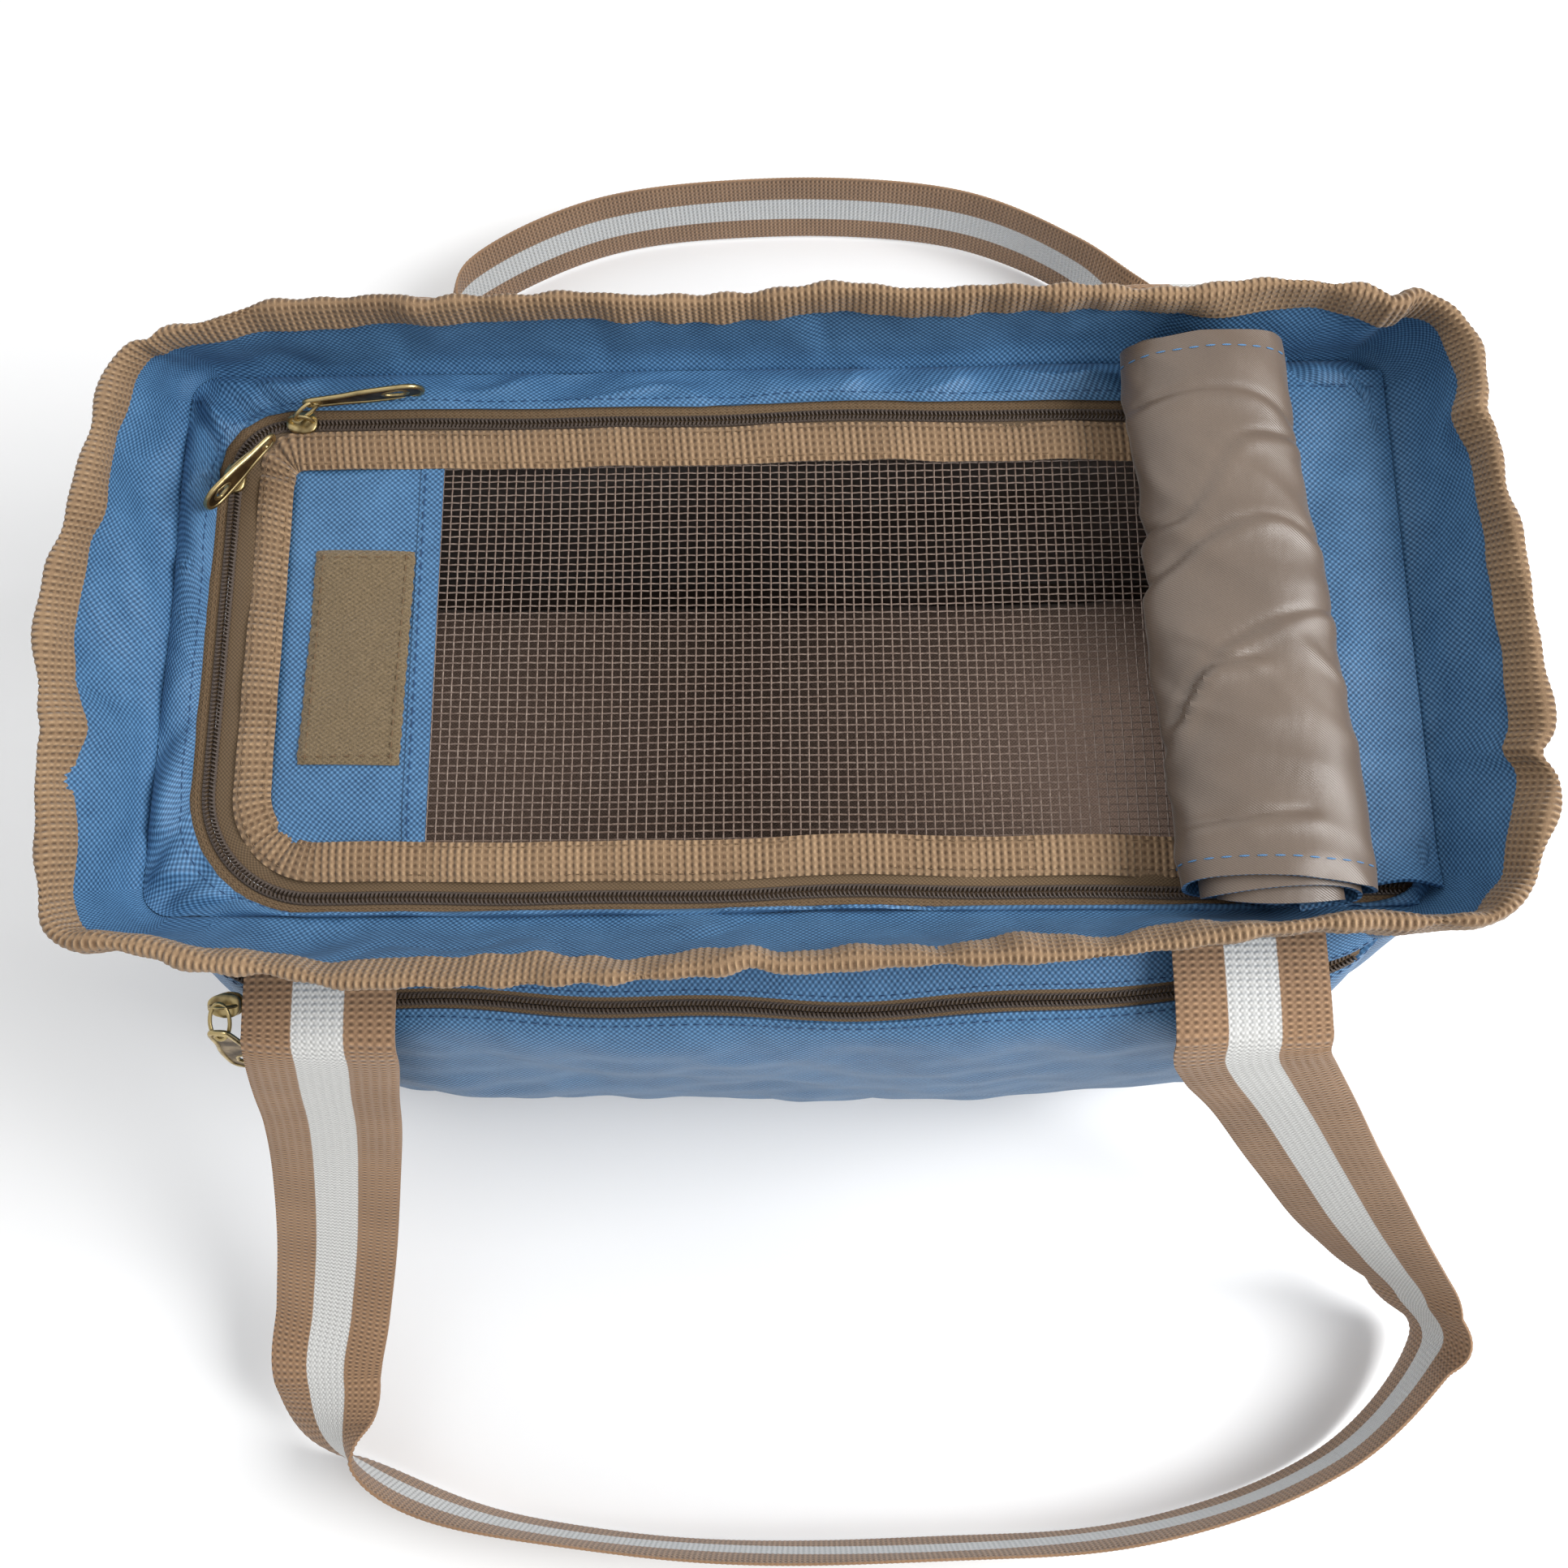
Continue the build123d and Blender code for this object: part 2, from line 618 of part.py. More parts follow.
ALONG = (1, 0, 0)
UPRIGHT = (0, 0, 1)

# Each strap hangs from its hinge line, turns on to its edge and lies in an arc on the floor.
front_route = [
    ((-HANDLE_X, -FRONT_HINGE_Y, FRONT_HINGE_Z), ALONG),
    ((-152.5, -154, 206), ALONG),
    ((-167, -178, 105), ALONG),
    ((-186, -212, 58), (1, -0.1, 0.25)),
    ((-201, -247, 33), (0.8, -0.2, 0.75)),
    ((-190, -285, 27), (0.2, -0.1, 1)),
    ((-120, -322, 27), UPRIGHT),
    ((0, -333, 27), UPRIGHT),
    ((140, -326, 27), UPRIGHT),
    ((232, -297, 28), UPRIGHT),
    ((276, -252, 40), (0.3, 0.0, 1)),
    ((248, -213, 105), (0.9, -0.2, 0.5)),
    ((196, -176, 165), (1, -0.1, 0.25)),
    ((156, -153, 210), ALONG),
    ((HANDLE_X, -FRONT_HINGE_Y, FRONT_HINGE_Z), ALONG),
]
back_route = [
    ((-HANDLE_X, BACK_HINGE_Y, BACK_HINGE_Z), ALONG),
    ((-154, 151, 208), ALONG),
    ((-163, 172, 105), ALONG),
    ((-176, 206, 56), (1, 0.1, 0.25)),
    ((-182, 240, 33), (0.8, 0.3, 0.75)),
    ((-164, 280, 27), (0.2, 0.1, 1)),
    ((-95, 315, 27), UPRIGHT),
    ((0, 326, 27), UPRIGHT),
    ((90, 316, 27), UPRIGHT),
    ((150, 284, 28), UPRIGHT),
    ((172, 243, 38), (0.5, -0.1, 1)),
    ((165, 205, 80), (1, -0.1, 0.4)),
    ((150, 172, 150), ALONG),
    ((147, 150, 214), ALONG),
    ((HANDLE_X, BACK_HINGE_Y, BACK_HINGE_Z), ALONG),
]
save(make_handle(front_route), "front_handle")
save(make_handle(back_route), "back_handle")
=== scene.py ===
"""Soft-sided pet transport carrier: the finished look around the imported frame.

Every piece is drawn in millimetres in the frame of the carrier (X along it, Y to its back, Z up) and is
turned into metres when its mesh is made. Cloth is a thin closed slab round a wavy grid of points.
"""

import logging
import math
from dataclasses import dataclass, field
from enum import Enum
from typing import Sequence

import bmesh
import bpy
import numpy as np
from mathutils import Matrix, Vector


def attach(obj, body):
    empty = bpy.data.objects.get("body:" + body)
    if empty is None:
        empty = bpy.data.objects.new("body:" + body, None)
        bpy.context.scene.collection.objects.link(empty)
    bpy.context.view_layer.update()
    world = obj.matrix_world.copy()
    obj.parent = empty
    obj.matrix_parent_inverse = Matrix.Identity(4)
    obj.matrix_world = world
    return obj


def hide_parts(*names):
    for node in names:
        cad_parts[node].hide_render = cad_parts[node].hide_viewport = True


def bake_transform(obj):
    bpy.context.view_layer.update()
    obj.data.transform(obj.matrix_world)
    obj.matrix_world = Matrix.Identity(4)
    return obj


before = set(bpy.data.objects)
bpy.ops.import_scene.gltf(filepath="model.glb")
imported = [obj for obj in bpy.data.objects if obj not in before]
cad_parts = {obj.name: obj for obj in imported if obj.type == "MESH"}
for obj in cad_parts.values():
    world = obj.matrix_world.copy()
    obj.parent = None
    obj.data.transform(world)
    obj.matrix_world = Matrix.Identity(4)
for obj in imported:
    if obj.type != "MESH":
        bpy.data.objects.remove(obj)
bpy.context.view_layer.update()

MM = 0.001
TAU = 2 * math.pi
CLOTH_MAP = "Cloth"
LOG = logging.getLogger("carrier")

Array = np.ndarray
Colour = tuple[float, float, float]
Point = tuple[float, float, float]
Spot = tuple[float, float]
Fold = tuple[Spot, Spot, float, float]
UP = np.array([0.0, 0.0, 1.0])
RIB_STEPS = 4


# ---------------------------------------------------------------- lines and waves


def unit(vectors: Array) -> Array:
    """Vectors scaled to length one."""
    return vectors / np.maximum(np.linalg.norm(vectors, axis=-1, keepdims=True), 1e-9)


def lengths_along(line: Array) -> Array:
    """Distance along a line of points, from its first point to each of them."""
    steps = np.linalg.norm(np.diff(line[:, :3], axis=0), axis=1)
    return np.concatenate([[0.0], np.cumsum(steps)])


def resample(line: Array, count: int, closed: bool = False) -> Array:
    """Evenly spaced points along a line.

    Args:
        line: points, with any further columns carried along.
        count: number of points wanted.
        closed: whether the line's last point is its first one again, which is then left out.

    Returns:
        The new points, with the same columns.
    """
    along = lengths_along(line)
    wanted = np.linspace(0.0, along[-1], count + 1 if closed else count)[:count]
    return np.stack([np.interp(wanted, along, line[:, k]) for k in range(line.shape[1])], 1)


def smooth_line(points: Sequence[Sequence[float]], count: int, closed: bool = False) -> Array:
    """A smooth line through points, evenly spaced.

    Args:
        points: what the line passes through, with any further columns carried along.
        count: number of points wanted.
        closed: whether the line runs back into its start.

    Returns:
        Points along the line.
    """
    knots = np.asarray(points, float)
    if closed:
        knots = np.vstack([knots[-1:], knots, knots[:2]])
    else:
        knots = np.vstack([2 * knots[0] - knots[1], knots, 2 * knots[-1] - knots[-2]])
    t = np.linspace(0, 1, 20, endpoint=False)[:, None]
    parts = []
    for a, b, c, d in zip(knots, knots[1:], knots[2:], knots[3:]):
        parts.append(
            0.5 * (2 * b + (c - a) * t + (2 * a - 5 * b + 4 * c - d) * t**2 + (3 * b - a - 3 * c + d) * t**3)
        )
    parts.append(knots[-2:-1])
    return resample(np.vstack(parts), count, closed)


def stepped(*runs: tuple[float, float, int]) -> Array:
    """Values in runs, each from its first value to its last in a number of steps."""
    return np.concatenate([np.linspace(*run) for run in runs])


def bell(distance: Array, width: float) -> Array:
    """A smooth bump: one at no distance, fading over a width."""
    return np.exp(-((distance / width) ** 2))


def crease(points: Array, start: tuple[float, float], end: tuple[float, float], width: float) -> Array:
    """How strongly a fold from one plan point to another marks each point.

    Args:
        points: grid of points.
        start: plan position where the fold is strongest.
        end: plan position where it has faded away.
        width: half width of the fold.

    Returns:
        Strength from 0 to 1 for each point.
    """
    a, run = np.array(start), np.array(end) - np.array(start)
    offset = points[..., :2] - a
    share = np.clip((offset @ run) / (run @ run), 0, 1)
    distance = np.linalg.norm(offset - share[..., None] * run, axis=-1)
    return bell(distance, width) * (1 - share**2)


def pressed(points: Array, folds: Sequence[Fold]) -> Array:
    """How deep a row of folds goes at each point.

    Args:
        points: grid of points.
        folds: the plan positions of each fold's two ends, its depth and its half width.

    Returns:
        Depth in millimetres for each point, with the folds laid over each other.
    """
    depths = np.zeros(points.shape[:-1])
    for start, end, depth, width in folds:
        mark = np.maximum(crease(points, start, end, width), crease(points, end, start, width))
        depths += depth * mark
    return depths


class Ripple:
    """Soft waves in space that are the same on each run."""

    def __init__(self, seed: int, shortest: float, longest: float, stretch: Point = (1, 1, 1)) -> None:
        """Draws the waves.

        Args:
            seed: number that fixes the waves.
            shortest: shortest wave, in millimetres.
            longest: longest wave, in millimetres.
            stretch: share of each axis in the waves' direction; a small share draws them out along it.
        """
        random = np.random.default_rng(seed)
        count = 16
        heading = unit(random.normal(size=(count, 3)) * np.array(stretch))
        self.waves = heading * (TAU / random.uniform(shortest, longest, count))[:, None]
        self.phases = random.uniform(0, TAU, count)

    def __call__(self, points: Array) -> Array:
        """Wave height at each point, about -1 to 1."""
        return np.sin(points @ self.waves.T + self.phases).sum(-1) / math.sqrt(len(self.phases) * 0.9)

    def folds(self, points: Array) -> Array:
        """Narrow ridges between wide valleys, 0 to 1."""
        return 1 - np.sqrt(np.minimum(self(points) ** 2 + 0.01, 1.0))


def grid_normals(grid: Array, close_rows: bool = False, close_cols: bool = False) -> Array:
    """Unit normals of a grid of points, on the side from which its columns run right and its rows up."""
    across = np.gradient(grid, axis=1)
    along = np.gradient(grid, axis=0) if grid.shape[0] > 1 else np.zeros_like(grid)
    if close_cols:
        across = np.roll(grid, -1, 1) - np.roll(grid, 1, 1)
    if close_rows:
        along = np.roll(grid, -1, 0) - np.roll(grid, 1, 0)
    return unit(np.cross(across, along))


def grid_map(grid: Array, close_rows: bool = False, close_cols: bool = False) -> Array:
    """Cloth coordinates of a grid in millimetres: along its columns, then along its rows.

    Args:
        grid: rows and columns of points.
        close_rows: whether the last row meets the first.
        close_cols: whether the last column meets the first.

    Returns:
        One pair for each point, with one more row or column where the grid closes.
    """
    if close_cols:
        grid = np.concatenate([grid, grid[:, :1]], 1)
    if close_rows:
        grid = np.concatenate([grid, grid[:1]], 0)
    u = np.linalg.norm(np.diff(grid, axis=1), axis=2).mean(0)
    v = np.linalg.norm(np.diff(grid, axis=0), axis=2).mean(1)
    u, v = np.concatenate([[0], np.cumsum(u)]), np.concatenate([[0], np.cumsum(v)])
    return np.stack(np.broadcast_arrays(u[None, :], v[:, None]), -1)


def ribs(count: int, height: float) -> Array:
    """The rise of a tape's ribs at each of a number of even steps along it."""
    return height * np.cos(np.arange(count) * TAU / RIB_STEPS)


def ribbed_map(grid: Array, rib_count: int, rib: float, closed: bool) -> Array:
    """Cloth coordinates of a tape, stretched so that a whole number of ribs fits along it.

    Args:
        grid: the tape's points, its columns along it.
        rib_count: number of ribs.
        rib: width of one rib.
        closed: whether the tape runs into its start.

    Returns:
        The coordinates.
    """
    maps = grid_map(grid, False, closed)
    maps[..., 0] *= rib_count * rib / maps[0, -1, 0]
    return maps


# ---------------------------------------------------------------- meshes


class Pattern:
    """Collects the faces of one piece and turns them into an object."""

    def __init__(self) -> None:
        """Starts with no faces."""
        self.points: list[Array] = []
        self.faces: list[tuple[Array, Array, int]] = []
        self.count = 0

    def add(self, points: Array, corners: Array, maps: Array, finish: int = 0) -> None:
        """Adds faces that all have the same number of corners.

        Args:
            points: positions, one row each.
            corners: indices into the points, one row for each face.
            maps: cloth coordinates of each corner.
            finish: which of the piece's finishes they take.
        """
        self.points.append(points.reshape(-1, 3))
        self.faces.append((corners + self.count, maps, finish))
        self.count += len(points.reshape(-1, 3))

    def grid(
        self,
        grid: Array,
        maps: Array | None = None,
        close_rows: bool = False,
        close_cols: bool = False,
        flip: bool = False,
        keep: Array | None = None,
        finish: int = 0,
    ) -> None:
        """Adds a surface through rows and columns of points.

        Args:
            grid: the points.
            maps: cloth coordinates, worked out from the points if they aren't given.
            close_rows: whether the last row meets the first.
            close_cols: whether the last column meets the first.
            flip: whether its faces look the other way.
            keep: which of its cells are there.
            finish: which of the piece's finishes it takes.
        """
        rows, cols = grid.shape[:2]
        maps = grid_map(grid, close_rows, close_cols) if maps is None else maps
        i, j = np.mgrid[0 : rows - 1 + close_rows, 0 : cols - 1 + close_cols]
        if keep is not None:
            i, j = i[keep], j[keep]
        i, j = i.ravel(), j.ravel()
        steps = [(0, 0), (0, 1), (1, 1), (1, 0)]
        steps = steps[::-1] if flip else steps
        corners = np.stack([((i + a) % rows) * cols + (j + b) % cols for a, b in steps], 1)
        around = np.stack([maps[i + a, j + b] for a, b in steps], 1)
        self.add(grid, corners, around, finish)

    def slab(
        self,
        top: Array,
        bottom: Array,
        maps: Array | None = None,
        close_cols: bool = False,
        keep: Array | None = None,
        finishes: tuple[int, int, int] = (0, 0, 0),
    ) -> None:
        """Adds a closed sheet of cloth between two grids, with openings where cells are left out.

        Args:
            top: points of its outer side.
            bottom: points of its inner side.
            maps: cloth coordinates.
            close_cols: whether the last column meets the first.
            keep: which of its cells are there.
            finishes: finishes of its outer side, its inner side and its edges.
        """
        rows, cols = top.shape[:2]
        maps = grid_map(top, False, close_cols) if maps is None else maps
        cells = np.ones((rows - 1, cols - 1 + close_cols), bool) if keep is None else keep
        self.grid(top, maps, False, close_cols, False, cells, finishes[0])
        self.grid(bottom, maps, False, close_cols, True, cells, finishes[1])
        padded = np.pad(cells, 1)
        if close_cols:
            padded[1:-1, 0], padded[1:-1, -1] = cells[:, -1], cells[:, 0]
        sides = (
            (padded[:-2, 1:-1], (0, 0), (0, 1)),
            (padded[2:, 1:-1], (1, 1), (1, 0)),
            (padded[1:-1, :-2], (1, 0), (0, 0)),
            (padded[1:-1, 2:], (0, 1), (1, 1)),
        )
        both = np.concatenate([top.reshape(-1, 3), bottom.reshape(-1, 3)])
        size = rows * cols
        for neighbour, a, b in sides:
            i, j = np.nonzero(cells & ~neighbour)
            if len(i) == 0:
                continue
            p = (i + a[0]) * cols + (j + a[1]) % cols
            q = (i + b[0]) * cols + (j + b[1]) % cols
            corners = np.stack([p + size, q + size, q, p], 1)
            pm, qm = maps[i + a[0], j + a[1]], maps[i + b[0], j + b[1]]
            self.add(both, corners, np.stack([pm, qm, qm, pm], 1), finishes[2])

    def cloth(
        self,
        middle: Array,
        thickness: float | Array,
        maps: Array | None = None,
        close_cols: bool = False,
        keep: Array | None = None,
        finishes: tuple[int, int, int] = (0, 0, 0),
    ) -> None:
        """Adds a closed sheet of cloth of a thickness round a grid in its middle."""
        half = grid_normals(middle, close_cols=close_cols) * (np.asarray(thickness)[..., None] / 2)
        self.slab(middle + half, middle - half, maps, close_cols, keep, finishes)

    def tube(
        self,
        path: Array,
        radius: float | Array,
        sides: int = 8,
        closed: bool = False,
        finish: int = 0,
        flat: float = 1.0,
        up: Point = (0.0137, 0.0211, 1.0),
    ) -> None:
        """Adds a round or flattened cord along a path.

        Args:
            path: points of its centre line.
            radius: its radius, for the whole cord or for each point.
            sides: number of faces round it.
            closed: whether its end runs into its start.
            finish: which of the piece's finishes it takes.
            flat: its height as a share of its width.
            up: direction of its height.
        """
        ahead = np.roll(path, -1, 0) - np.roll(path, 1, 0) if closed else np.gradient(path, axis=0)
        ahead = unit(ahead)
        side = unit(np.cross(ahead, np.array(up)))
        over = np.cross(side, ahead)
        angle = np.arange(sides) * TAU / sides
        wide = (np.ones(len(path)) * radius)[:, None, None]
        ring = side[:, None] * np.cos(angle)[None, :, None] * wide
        ring = ring + over[:, None] * np.sin(angle)[None, :, None] * wide * flat
        grid = path[:, None] + ring
        self.grid(grid[::-1], None, closed, True, False, None, finish)
        if not closed:
            flat_map = np.zeros((1, sides, 2))
            order = np.arange(sides)[None]
            self.add(grid[0], order, flat_map, finish)
            self.add(grid[-1], order[:, ::-1], flat_map, finish)

    def beads(
        self,
        centres: Array,
        axes: tuple[Array, Array, Array],
        sizes: tuple[float, float, float],
        finish: int = 0,
        segments: int = 6,
        rings: int = 3,
    ) -> None:
        """Adds many small rounded beads, as zip teeth, stitches or bumps.

        Args:
            centres: middle of each bead.
            axes: unit directions of each bead's length, width and height.
            sizes: half length, half width and half height.
            finish: which of the piece's finishes they take.
            segments: faces round a bead.
            rings: rings of points between its two ends.
        """
        turn = np.arange(segments) * TAU / segments
        polar = (np.arange(rings) + 1) * math.pi / (rings + 1)
        ring = np.stack(
            [
                np.repeat(np.cos(polar), segments),
                np.outer(np.sin(polar), np.cos(turn)).ravel(),
                np.outer(np.sin(polar), np.sin(turn)).ravel(),
            ],
            1,
        )
        shape = np.vstack([ring, [[1, 0, 0], [-1, 0, 0]]]) * np.array(sizes)
        size = len(shape)
        points = centres[:, None] + sum(shape[None, :, k, None] * axes[k][:, None] for k in range(3))
        quads, ends = [], []
        for i in range(rings - 1):
            for j in range(segments):
                k = (j + 1) % segments
                low, high = i * segments, (i + 1) * segments
                quads.append([low + j, high + j, high + k, low + k])
        for j in range(segments):
            k = (j + 1) % segments
            ends.append([size - 2, j, k])
            ends.append([size - 1, (rings - 1) * segments + k, (rings - 1) * segments + j])
        shift = (np.arange(len(centres)) * size)[:, None, None]
        for corners in (np.array(quads), np.array(ends)):
            if len(corners) == 0:
                continue
            faces = (corners[None] + shift).reshape(-1, corners.shape[1])
            maps = np.tile(shape[corners][..., :2], (len(centres), 1, 1))
            self.faces.append((faces + self.count, maps, finish))
        self.points.append(points.reshape(-1, 3))
        self.count += len(centres) * size

    def stitches(
        self, path: Array, normals: Array | Point, length: float, gap: float, size: float, finish: int = 1
    ) -> None:
        """Adds a row of stitches that lie on a surface.

        Args:
            path: points of the seam on the surface.
            normals: the surface's unit normals there, or the one direction for them all.
            length: length of a stitch.
            gap: space between two stitches.
            size: half the thread's thickness.
            finish: which of the piece's finishes they take.
        """
        count = max(int(lengths_along(path)[-1] / (length + gap)), 2)
        line = resample(np.hstack([path, np.broadcast_to(normals, path.shape)]), count)
        centres, up = line[:, :3] + unit(line[:, 3:]) * size * 0.4, unit(line[:, 3:])
        ahead = unit(np.gradient(centres, axis=0))
        across = unit(np.cross(up, ahead))
        self.beads(centres, (ahead, across, up), (length / 2, size, size), finish, 6, 3)

    def make(self, name: str, finishes: Sequence["Finish"], sharp: float = 42.0) -> bpy.types.Object:
        """Makes the object.

        Args:
            name: name of the piece.
            finishes: what its faces are made of, in the order of their numbers.
            sharp: angle in degrees above which an edge between two faces stays sharp.

        Returns:
            The object, linked to the scene, in metres.
        """
        points = np.vstack(self.points)
        keys = np.round(points * 2000).astype(np.int64)
        code = (keys[:, 0] * 4000037 + keys[:, 1]) * 4000037 + keys[:, 2]
        _, first, place = np.unique(code, return_index=True, return_inverse=True)
        points = points[first]
        mesh = bpy.data.meshes.new(name)
        mesh.vertices.add(len(points))
        mesh.vertices.foreach_set("co", (points * MM).astype(np.float32).ravel())
        loops, totals, marks, maps = [], [], [], []
        for corners, around, finish in self.faces:
            corners = place[corners]
            ordered = np.sort(corners, axis=1)
            good = (np.diff(ordered, axis=1) > 0).all(1)
            loops.append(corners[good].ravel())
            totals.append(np.full(good.sum(), corners.shape[1]))
            marks.append(np.full(good.sum(), finish))
            maps.append(around[good].reshape(-1, 2))
        loops, totals = np.concatenate(loops), np.concatenate(totals)
        mesh.loops.add(len(loops))
        mesh.loops.foreach_set("vertex_index", loops.astype(np.int32))
        mesh.polygons.add(len(totals))
        starts = np.concatenate([[0], np.cumsum(totals)[:-1]])
        mesh.polygons.foreach_set("loop_start", starts.astype(np.int32))
        mesh.polygons.foreach_set("material_index", np.concatenate(marks).astype(np.int32))
        mesh.update(calc_edges=True)
        layer = mesh.uv_layers.new(name=CLOTH_MAP)
        layer.data.foreach_set("uv", np.concatenate(maps).astype(np.float32).ravel())
        mesh.validate()
        mesh.shade_smooth()
        mesh.set_sharp_from_angle(angle=math.radians(sharp))
        for finish in finishes:
            mesh.materials.append(finish.material())
        piece = bpy.data.objects.new(name, mesh)
        bpy.context.scene.collection.objects.link(piece)
        return piece


def settle(piece: bpy.types.Object, body: str, slot: str, *nodes: str) -> bpy.types.Object:
    """Fixes a finished piece to its body, hides the parts of the frame that it stands for and logs it.

    Args:
        piece: the piece.
        body: name of the body it moves with.
        slot: not used.
        nodes: parts of the frame that it stands for.

    Returns:
        The piece.
    """
    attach(piece, body)
    if nodes:
        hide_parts(*nodes)
    return report(piece, body)


def report(piece: bpy.types.Object, body: str) -> bpy.types.Object:
    """Logs a finished piece and returns it."""
    LOG.info("%s on %s: %d faces", piece.name, body, len(piece.data.polygons))
    return piece


# ---------------------------------------------------------------- finishes


class Signal:
    """A value that varies over a surface, with the usual arithmetic."""

    def __init__(self, graph: "Graph", socket: bpy.types.NodeSocket) -> None:
        """Wraps a node's output."""
        self.graph, self.socket = graph, socket

    def __add__(self, other: "Signal | float") -> "Signal":
        """Sum."""
        return self.graph.math("ADD", self, other)

    def __sub__(self, other: "Signal | float") -> "Signal":
        """Difference."""
        return self.graph.math("SUBTRACT", self, other)

    def __radd__(self, other: float) -> "Signal":
        """Sum with a number."""
        return self.graph.math("ADD", other, self)

    def __rmul__(self, other: float) -> "Signal":
        """Product with a number."""
        return self.graph.math("MULTIPLY", other, self)

    def __rsub__(self, other: float) -> "Signal":
        """Difference from a number."""
        return self.graph.math("SUBTRACT", other, self)

    def __mul__(self, other: "Signal | float") -> "Signal":
        """Product."""
        return self.graph.math("MULTIPLY", self, other)

    def __mod__(self, other: float) -> "Signal":
        """Remainder."""
        return self.graph.math("FLOORED_MODULO", self, other)

    def __pow__(self, other: float) -> "Signal":
        """Power."""
        return self.graph.math("POWER", self, other)

    def floor(self) -> "Signal":
        """Whole part."""
        return self.graph.math("FLOOR", self)

    def cos(self) -> "Signal":
        """Cosine."""
        return self.graph.math("COSINE", self)

    def size(self) -> "Signal":
        """Absolute value."""
        return self.graph.math("ABSOLUTE", self)

    def step(self, low: float, high: float) -> "Signal":
        """Rises smoothly from 0 at the low value to 1 at the high one."""
        node = self.graph.node("ShaderNodeMapRange")
        node.interpolation_type = "SMOOTHSTEP"
        node.inputs["From Min"].default_value = low
        node.inputs["From Max"].default_value = high
        self.graph.link(self, node.inputs["Value"])
        return Signal(self.graph, node.outputs["Result"])


class Graph:
    """The nodes of one finish."""

    def __init__(self, name: str) -> None:
        """Makes a new material that holds one shader."""
        self.material = bpy.data.materials.new(name)
        self.material.use_nodes = True
        self.tree = self.material.node_tree
        self.shader = self.tree.nodes["Principled BSDF"]

    def node(self, kind: str) -> bpy.types.Node:
        """A new node."""
        return self.tree.nodes.new(kind)

    def link(self, value: Signal | float | Colour, socket: bpy.types.NodeSocket) -> None:
        """Feeds a signal, a number or a colour to a socket."""
        if isinstance(value, Signal):
            self.tree.links.new(value.socket, socket)
        elif isinstance(value, tuple):
            socket.default_value = (*value, 1.0)
        else:
            socket.default_value = value

    def math(self, operation: str, *values: Signal | float) -> Signal:
        """One step of arithmetic."""
        node = self.node("ShaderNodeMath")
        node.operation = operation
        for value, socket in zip(values, node.inputs):
            self.link(value, socket)
        return Signal(self, node.outputs[0])

    def cloth(self) -> tuple[Signal, Signal]:
        """The cloth coordinates in millimetres: across and along."""
        source = self.node("ShaderNodeUVMap")
        source.uv_map = CLOTH_MAP
        parts = self.node("ShaderNodeSeparateXYZ")
        self.tree.links.new(source.outputs["UV"], parts.inputs[0])
        return Signal(self, parts.outputs["X"]), Signal(self, parts.outputs["Y"])

    def noise(self, wave: float, detail: float = 2.0, stretch: Point = (1, 1, 1)) -> Signal:
        """Soft random variation in space.

        Args:
            wave: its typical length in millimetres.
            detail: number of finer layers in it.
            stretch: how much faster it varies along each axis.

        Returns:
            A signal from 0 to 1.
        """
        place = self.node("ShaderNodeTexCoord")
        scaled = self.node("ShaderNodeMapping")
        scaled.inputs["Scale"].default_value = stretch
        texture = self.node("ShaderNodeTexNoise")
        texture.inputs["Scale"].default_value = 1 / (wave * MM)
        texture.inputs["Detail"].default_value = detail
        self.tree.links.new(place.outputs["Object"], scaled.inputs["Vector"])
        self.tree.links.new(scaled.outputs["Vector"], texture.inputs["Vector"])
        return Signal(self, texture.outputs["Fac"])

    def mix(self, share: Signal | float, low: Signal | Colour, high: Signal | Colour) -> Signal:
        """A colour between two others."""
        node = self.node("ShaderNodeMix")
        node.data_type = "RGBA"
        self.link(share, node.inputs[0])
        self.link(low, node.inputs[6])
        self.link(high, node.inputs[7])
        return Signal(self, node.outputs[2])

    def bump(self, height: Signal, distance: float, strength: float = 1.0) -> None:
        """Gives the surface relief.

        Args:
            height: its height, from 0 to 1.
            distance: millimetres that a height of 1 stands up.
            strength: share of it that is used.
        """
        node = self.node("ShaderNodeBump")
        node.inputs["Distance"].default_value = distance * MM
        node.inputs["Strength"].default_value = strength
        self.link(height, node.inputs["Height"])
        self.tree.links.new(node.outputs["Normal"], self.shader.inputs["Normal"])

    def surface(self, colour: Signal | Colour, roughness: Signal | float, **settings: float) -> None:
        """Sets the shader's colour, roughness and further sockets by name, with _ for a space."""
        self.link(colour, self.shader.inputs["Base Color"])
        self.link(roughness, self.shader.inputs["Roughness"])
        for key, value in settings.items():
            self.link(value, self.shader.inputs[key.replace("_", " ")])


def staggered(u: Signal, v: Signal, wide: float, high: float) -> Signal:
    """Rows of dots, each row half a step along from the last, 0 to 1."""
    return (u * (TAU / wide)).cos() * (v * (TAU / high)).cos() * 0.5 + 0.5


@dataclass(frozen=True)
class Finish:
    """What a surface is made of."""

    name: str = "finish"

    def paint(self, graph: Graph) -> None:
        """Builds the nodes."""
        raise NotImplementedError

    def material(self) -> bpy.types.Material:
        """The finish's material, made on its first use."""
        label = self.name + "_finish"
        found = bpy.data.materials.get(label)
        if found is None:
            graph = Graph(label)
            self.paint(graph)
            found = graph.material
        return found


